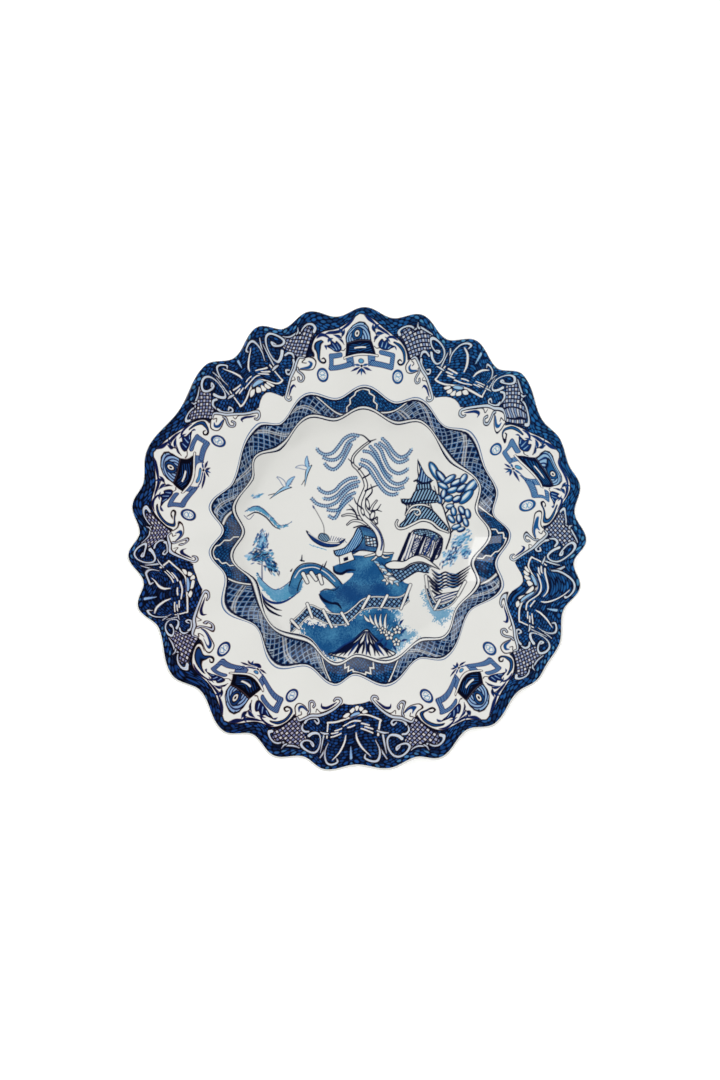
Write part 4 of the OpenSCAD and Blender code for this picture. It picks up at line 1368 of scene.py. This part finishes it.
def biscuit_finish():
    """Bare fired clay: matt and fine-grained, with a mottled tone and dark specks."""
    tone = bpy.context.scene.plate_inks
    finish = Finish("bare_biscuit")
    clay = np.array(tone.biscuit)
    speck = (finish.noise(0.6, 3.0, 0.7) * 6.0 - 3.6).clamp()
    body = finish.blend(finish.noise(7, 3.0), rgba(clay * (0.86, 0.84, 0.80)), rgba(clay))
    finish.set(Base_Color=finish.blend(speck * 0.35, body, rgba(clay * (0.55, 0.48, 0.42))),
               Roughness=(finish.noise(1.5, 3.0) * 0.2 + 0.68), IOR=1.45)
    finish.set(Normal=finish.bump(finish.noise(0.5, 3.0, 0.65), 0.05))
    return finish.material


def floor_finish():
    """Pale matt paper of the studio floor, lit a little from below like a light table."""
    tone = bpy.context.scene.plate_light
    finish = Finish("studio_paper")
    paper = np.array(tone.floor)
    finish.set(Base_Color=finish.blend(finish.noise(400, 2.0), rgba(paper * 0.99), rgba(paper)),
               Roughness=0.9)
    finish.set(Specular_IOR_Level=0.1, Emission_Color=rgba(paper), Emission_Strength=0.2)
    return finish.material


def shared_finish(name, make):
    """Finish made once and used by every piece that has it."""
    return bpy.data.materials.get(name) or make()


# ---------------------------------------------------------------- operators


class PLATE_OT_body(bpy.types.Operator):
    """Make the glazed body from the middle of its floor, over the lip, to the middle of its underside"""
    bl_idname = "plate.body"
    bl_label = "Glazed body"

    def execute(self, context):
        angle = np.arange(context.scene.plate_shape.body_turns) * 360 / context.scene.plate_shape.body_turns
        inner = shoulder(angle)
        outer = outline(angle)
        radii = [np.full_like(angle, r) for r in np.linspace(1.5, FLOOR_R, 12)]
        radii += [mix(FLOOR_R, inner, t) for t in np.linspace(0, 1, 35)[1:]]
        radii += [mix(inner, outer - LIP_ROUND, t) for t in np.linspace(0, 1, 41)[1:]]
        radii += [outer - LIP_ROUND + LIP_ROUND * math.sin(t) for t in np.linspace(0, math.pi / 2, 10)[1:]]
        rows = [on_plate(angle, r, top_height(angle, r)) for r in radii]
        lip_low = top_height(angle, outer - LIP_ROUND) - LIP_T
        edge = 1.3
        for t in np.linspace(0, math.pi / 2, 8):
            rows.append(on_plate(angle, outer - edge + edge * math.cos(t),
                                 lip_low + edge - edge * math.sin(t)))
        knee_r = inner + BODY_T / 2
        knee_z = SHOULDER_Z - BODY_T
        flat_r = FOOT_R + 1.0
        rows += [on_plate(angle, mix(outer - edge, knee_r, t), mix(lip_low, knee_z, t))
                 for t in np.linspace(0, 1, 13)[1:]]
        rows += [on_plate(angle, mix(knee_r, flat_r, t), mix(FOOT_H, knee_z, ease(1 - t)))
                 for t in np.linspace(0, 1, 13)[1:]]
        rows += [on_plate(angle, np.full_like(angle, r), FOOT_H) for r in np.linspace(flat_r, 1.5, 5)[1:]]
        piece = turned("glazed_body", np.stack(rows), shared_finish("clear_glaze", self.finish))
        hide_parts("body")
        return {"FINISHED"}

    def finish(self):
        return glaze_finish("clear_glaze", printed=False)


class PLATE_OT_foot(bpy.types.Operator):
    """Make the bare foot ring with its rounded standing edge"""
    bl_idname = "plate.foot"
    bl_label = "Foot ring"

    def execute(self, context):
        angle = np.arange(360)
        outer = FOOT_R
        inner = FOOT_R - 5.0
        round_r = 0.9
        turn = np.linspace(0, math.pi / 2, 7)
        profile = [(inner, FOOT_H + 0.1)]
        profile += [(inner + 0.5 + round_r - round_r * math.cos(t),
                     round_r - round_r * math.sin(t)) for t in turn]
        profile += [(mix(inner + 0.5 + round_r, outer - 0.5 - round_r, t), 0.0) for t in (0.35, 0.65)]
        profile += [(outer - 0.5 - round_r + round_r * math.sin(t),
                     round_r - round_r * math.cos(t)) for t in turn]
        profile += [(outer, FOOT_H + 0.1), (inner, FOOT_H + 0.1)]
        rows = np.stack([on_plate(angle, np.full(angle.shape, r), z) for r, z in profile[:-1]])
        count, columns = rows.shape[:2]
        four = np.concatenate([
            quads(count, columns, closed=True),
            np.stack([(count - 1) * columns + angle, (count - 1) * columns + (angle + 1) % columns,
                      (angle + 1) % columns, angle], axis=-1),
        ])
        piece = new_piece("bare_foot_ring", rows, four, np.zeros((0, 3), int), biscuit_finish())
        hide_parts("foot_ring")
        return {"FINISHED"}


class PLATE_OT_border(bpy.types.Operator):
    """Print the five border strips: every point takes its ink from one half repeat, folded and stretched"""
    bl_idname = "plate.border"
    bl_label = "Border transfers"

    def execute(self, context):
        shape = context.scene.plate_shape
        width = RIM_R - SHOULDER_R
        across = math.radians((SHOULDER_R + RIM_R) / 2 * DRAWN_AT)
        half = 180 / REPEATS
        columns = int(half * across / shape.print_step) + 1
        rows = int(width * 0.91 / shape.print_step) + 1
        u = np.linspace(0, half, columns)
        v = np.linspace(9, 100, rows)
        turn = np.concatenate([-u[:0:-1], u])[None]
        vv = np.broadcast_to(v[:, None], (rows, turn.size))
        scale = (across, width / 100)
        lip_share = ease((v - 45) / 55)[:, None]
        drift_share = np.interp(v, [0, 20, 42, 70, 100], [0.3, 0.55, 1, 0.5, 0])[:, None]
        material = shared_finish("printed_glaze", lambda: glaze_finish("printed_glaze", printed=True))
        for number in range(REPEATS):
            angle = FIRST_REPEAT + number * 360 / REPEATS + turn
            bare = 0.35 + shape.set_up * (1 - np.tanh(2.5 * np.cos(np.radians(angle - 75))))
            lip_shift = (outline(angle) - RIM_R - bare) * lip_share
            radius = SHOULDER_R + width * v[:, None] / 100 + lip_shift + drift_share * wave(DRIFT_WAVE, angle)
            top = on_plate(angle, radius, top_height(angle, radius) + shape.print_rise)
            place = from_cartouche(np.broadcast_to(angle, vv.shape), vv)
            ink = print_border(place.ravel() * scale[0], vv.ravel() * scale[1], scale)
            # Painted shade: the inks grow darkest towards the lower left of the rim (215 degrees) and stay as
            # printed towards the upper right (35 degrees).
            ink = painted_side_shade(ink.reshape(rows, turn.size, 3), 0.5 - 0.5 * np.cos(np.radians(angle - 35)))
            piece = slab(f"border_print_{number + 1}", top, ink, -0.15, material)
            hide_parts(f"border_transfer_{number + 1}")
        return {"FINISHED"}


class PLATE_OT_band(bpy.types.Operator):
    """Print the waved band round the well, in two halves"""
    bl_idname = "plate.band"
    bl_label = "Band transfer"

    def execute(self, context):
        shape = context.scene.plate_shape
        middle = (BAND_EDGE_R + SHOULDER_R) / 2
        scale = (math.radians(middle), (SHOULDER_R - BAND_EDGE_R) / 100)
        columns = int(180 * scale[0] / shape.print_step) + 1
        rows = int(100 * scale[1] / shape.print_step) + 1
        material = shared_finish("printed_glaze", lambda: glaze_finish("printed_glaze", printed=True))
        for name, start in (("band_print_right", -48), ("band_print_left", 132)):
            v = np.linspace(0, 100, rows)[:, None]
            angle = np.linspace(start, start + 180, columns)[None]
            x = np.broadcast_to(angle * scale[0], (rows, columns)).ravel()
            y = np.broadcast_to(v * scale[1], (rows, columns)).ravel()
            ink = print_band(x, y, scale).reshape(rows, columns, 3)
            radius = mix(band_edge(angle), shoulder(angle), v / 100)
            top = on_plate(angle, radius, top_height(angle, radius) + shape.print_rise * 1.4)
            slab(name, top, ink, -0.15, material)
        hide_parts("band_transfer")
        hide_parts("band_transfer")
        return {"FINISHED"}


class PLATE_OT_scene(bpy.types.Operator):
    """Print the garden scene in the well, in four quarters"""
    bl_idname = "plate.scene"
    bl_label = "Scene transfer"

    def execute(self, context):
        shape = context.scene.plate_shape
        count = int(BAND_EDGE_R / (shape.print_step * 1.12)) + 1
        material = shared_finish("printed_glaze", lambda: glaze_finish("printed_glaze", printed=True))
        for name, sa, sb in (("scene_print_back_right", 1, 1), ("scene_print_back_left", -1, 1),
                             ("scene_print_front_left", -1, -1), ("scene_print_front_right", 1, -1)):
            b, a = np.meshgrid(np.linspace(0, sb, count), np.linspace(0, sa, count), indexing="ij")
            angle, share = disc_grid(1.0, a, b)
            edge = band_edge(angle) - 0.3
            radius = share * mix(BAND_EDGE_R, edge, ease((share - 0.55) / 0.45))
            top = on_plate(angle, radius, top_height(angle, radius) + shape.print_rise)
            ink = print_scene(top[..., 0].ravel(), top[..., 1].ravel()).reshape(count, count, 3)
            piece = slab(name, top, ink, -0.25, material, ribs=31)
            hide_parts("centre_transfer")
        return {"FINISHED"}


class PLATE_OT_mark(bpy.types.Operator):
    """Print the plain mark under the plate"""
    bl_idname = "plate.mark"
    bl_label = "Mark transfer"

    def execute(self, context):
        b, a = np.meshgrid(np.linspace(-1, 1, 121), np.linspace(-1, 1, 121), indexing="ij")
        angle, radius = disc_grid(MARK_HIGH[0], a, b)
        top = on_plate(angle, radius, FOOT_H - context.scene.plate_shape.print_rise)
        ink = print_mark(-top[..., 0].ravel(), top[..., 1].ravel()).reshape(121, 121, 3)
        material = shared_finish("printed_glaze", lambda: glaze_finish("printed_glaze", printed=True))
        piece = slab("mark_print", top, ink, 0.15, material)
        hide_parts("backstamp_transfer")
        return {"FINISHED"}


class PLATE_OT_stage(bpy.types.Operator):
    """Set the pale floor, the soft lights and the camera straight above the plate"""
    bl_idname = "plate.stage"
    bl_label = "Stage"

    def execute(self, context):
        scene = context.scene
        light = scene.plate_light
        reach = 6000.0
        corners = np.array([(-reach, -reach, 0), (reach, -reach, 0), (reach, reach, 0), (-reach, reach, 0)],
                           float)
        mesh = bpy.data.meshes.new("studio_floor")
        mesh.from_pydata(corners * MM, [], [(0, 1, 2, 3)])
        mesh.materials.append(floor_finish())
        floor = bpy.data.objects.new("studio_floor", mesh)
        scene.collection.objects.link(floor)

        world = bpy.data.worlds.new("studio_world")
        world.use_nodes = True
        nodes = world.node_tree.nodes
        links = world.node_tree.links
        background = nodes["Background"]
        background.inputs["Color"].default_value = (1.0, 1.0, 1.0, 1.0)
        place = nodes.new("ShaderNodeTexCoord")
        split = nodes.new("ShaderNodeSeparateXYZ")
        fall = nodes.new("ShaderNodeMapRange")
        fall.inputs["From Min"].default_value = 0.1
        fall.inputs["From Max"].default_value = 0.5
        fall.inputs["To Min"].default_value = 1.5
        fall.inputs["To Max"].default_value = 0.06
        links.new(place.outputs["Generated"], split.inputs["Vector"])
        links.new(split.outputs["Z"], fall.inputs["Value"])
        links.new(fall.outputs["Result"], background.inputs["Strength"])
        scene.world = world
        over = self.softbox("over_softbox", (0.0, 0.0, 2.3), (1.8, 1.8), 51.0, (1.0, 0.998, 0.99))
        over.visible_glossy = False
        self.softbox("left_softbox", (-1.25, 0.3, 1.0), (0.5, 1.2), 7.0, (0.985, 0.99, 1.0))
        self.softbox("back_softbox", (0.0, 2.4, 1.0), (3.4, 1.5), 12.0, (1.0, 0.99, 0.97))

        data = bpy.data.cameras.new("camera")
        data.lens = light.lens
        data.sensor_fit = "VERTICAL"
        data.sensor_height = 36.0
        data.clip_start = 0.05
        data.clip_end = 50.0
        data.dof.use_dof = False
        camera = bpy.data.objects.new("camera", data)
        above = light.frame_h * light.lens / data.sensor_height
        camera.location = (0.0018, 0.0, BODY_HIGH[2] * MM + above)
        scene.collection.objects.link(camera)
        scene.camera = camera
        scene.view_settings.view_transform = "Standard"
        scene.view_settings.look = "None"
        return {"FINISHED"}

    def softbox(self, name, place, size, power, tint):
        """Rectangular soft light that faces the middle of the plate."""
        data = bpy.data.lights.new(name, "AREA")
        data.shape = "RECTANGLE"
        data.size = size[0]
        data.size_y = size[1]
        data.energy = power
        data.color = tint
        box = bpy.data.objects.new(name, data)
        box.location = place
        box.rotation_euler = (-Vector(place)).to_track_quat("-Z", "Y").to_euler()
        bpy.context.scene.collection.objects.link(box)
        return box


class PLATE_PT_panel(bpy.types.Panel):
    """Sidebar list of the plate's parts and settings"""
    bl_label = "Dinner plate"
    bl_space_type = "VIEW_3D"
    bl_region_type = "UI"
    bl_category = "Plate"

    def draw(self, context):
        for group in (context.scene.plate_inks, context.scene.plate_shape, context.scene.plate_light):
            for name in group.bl_rna.properties.keys():
                if name not in ("rna_type", "name"):
                    self.layout.prop(group, name)
        for operator in OPERATORS:
            self.layout.operator(operator.bl_idname)


OPERATORS = (PLATE_OT_body, PLATE_OT_foot, PLATE_OT_border, PLATE_OT_band, PLATE_OT_scene, PLATE_OT_mark,
             PLATE_OT_stage)
GROUPS = (("plate_inks", PlateInks), ("plate_shape", PlateShape), ("plate_light", PlateLight))


def register():
    for name, group in GROUPS:
        bpy.utils.register_class(group)
        setattr(bpy.types.Scene, name, PointerProperty(type=group))
    for cls in (*OPERATORS, PLATE_PT_panel):
        bpy.utils.register_class(cls)


def unregister():
    for cls in (PLATE_PT_panel, *reversed(OPERATORS)):
        bpy.utils.unregister_class(cls)
    for name, group in reversed(GROUPS):
        delattr(bpy.types.Scene, name)
        bpy.utils.unregister_class(group)


def main():
    register()
    for operator in OPERATORS:
        group, name = operator.bl_idname.split(".")
        getattr(getattr(bpy.ops, group), name)()


if __name__ == "__main__":
    main()
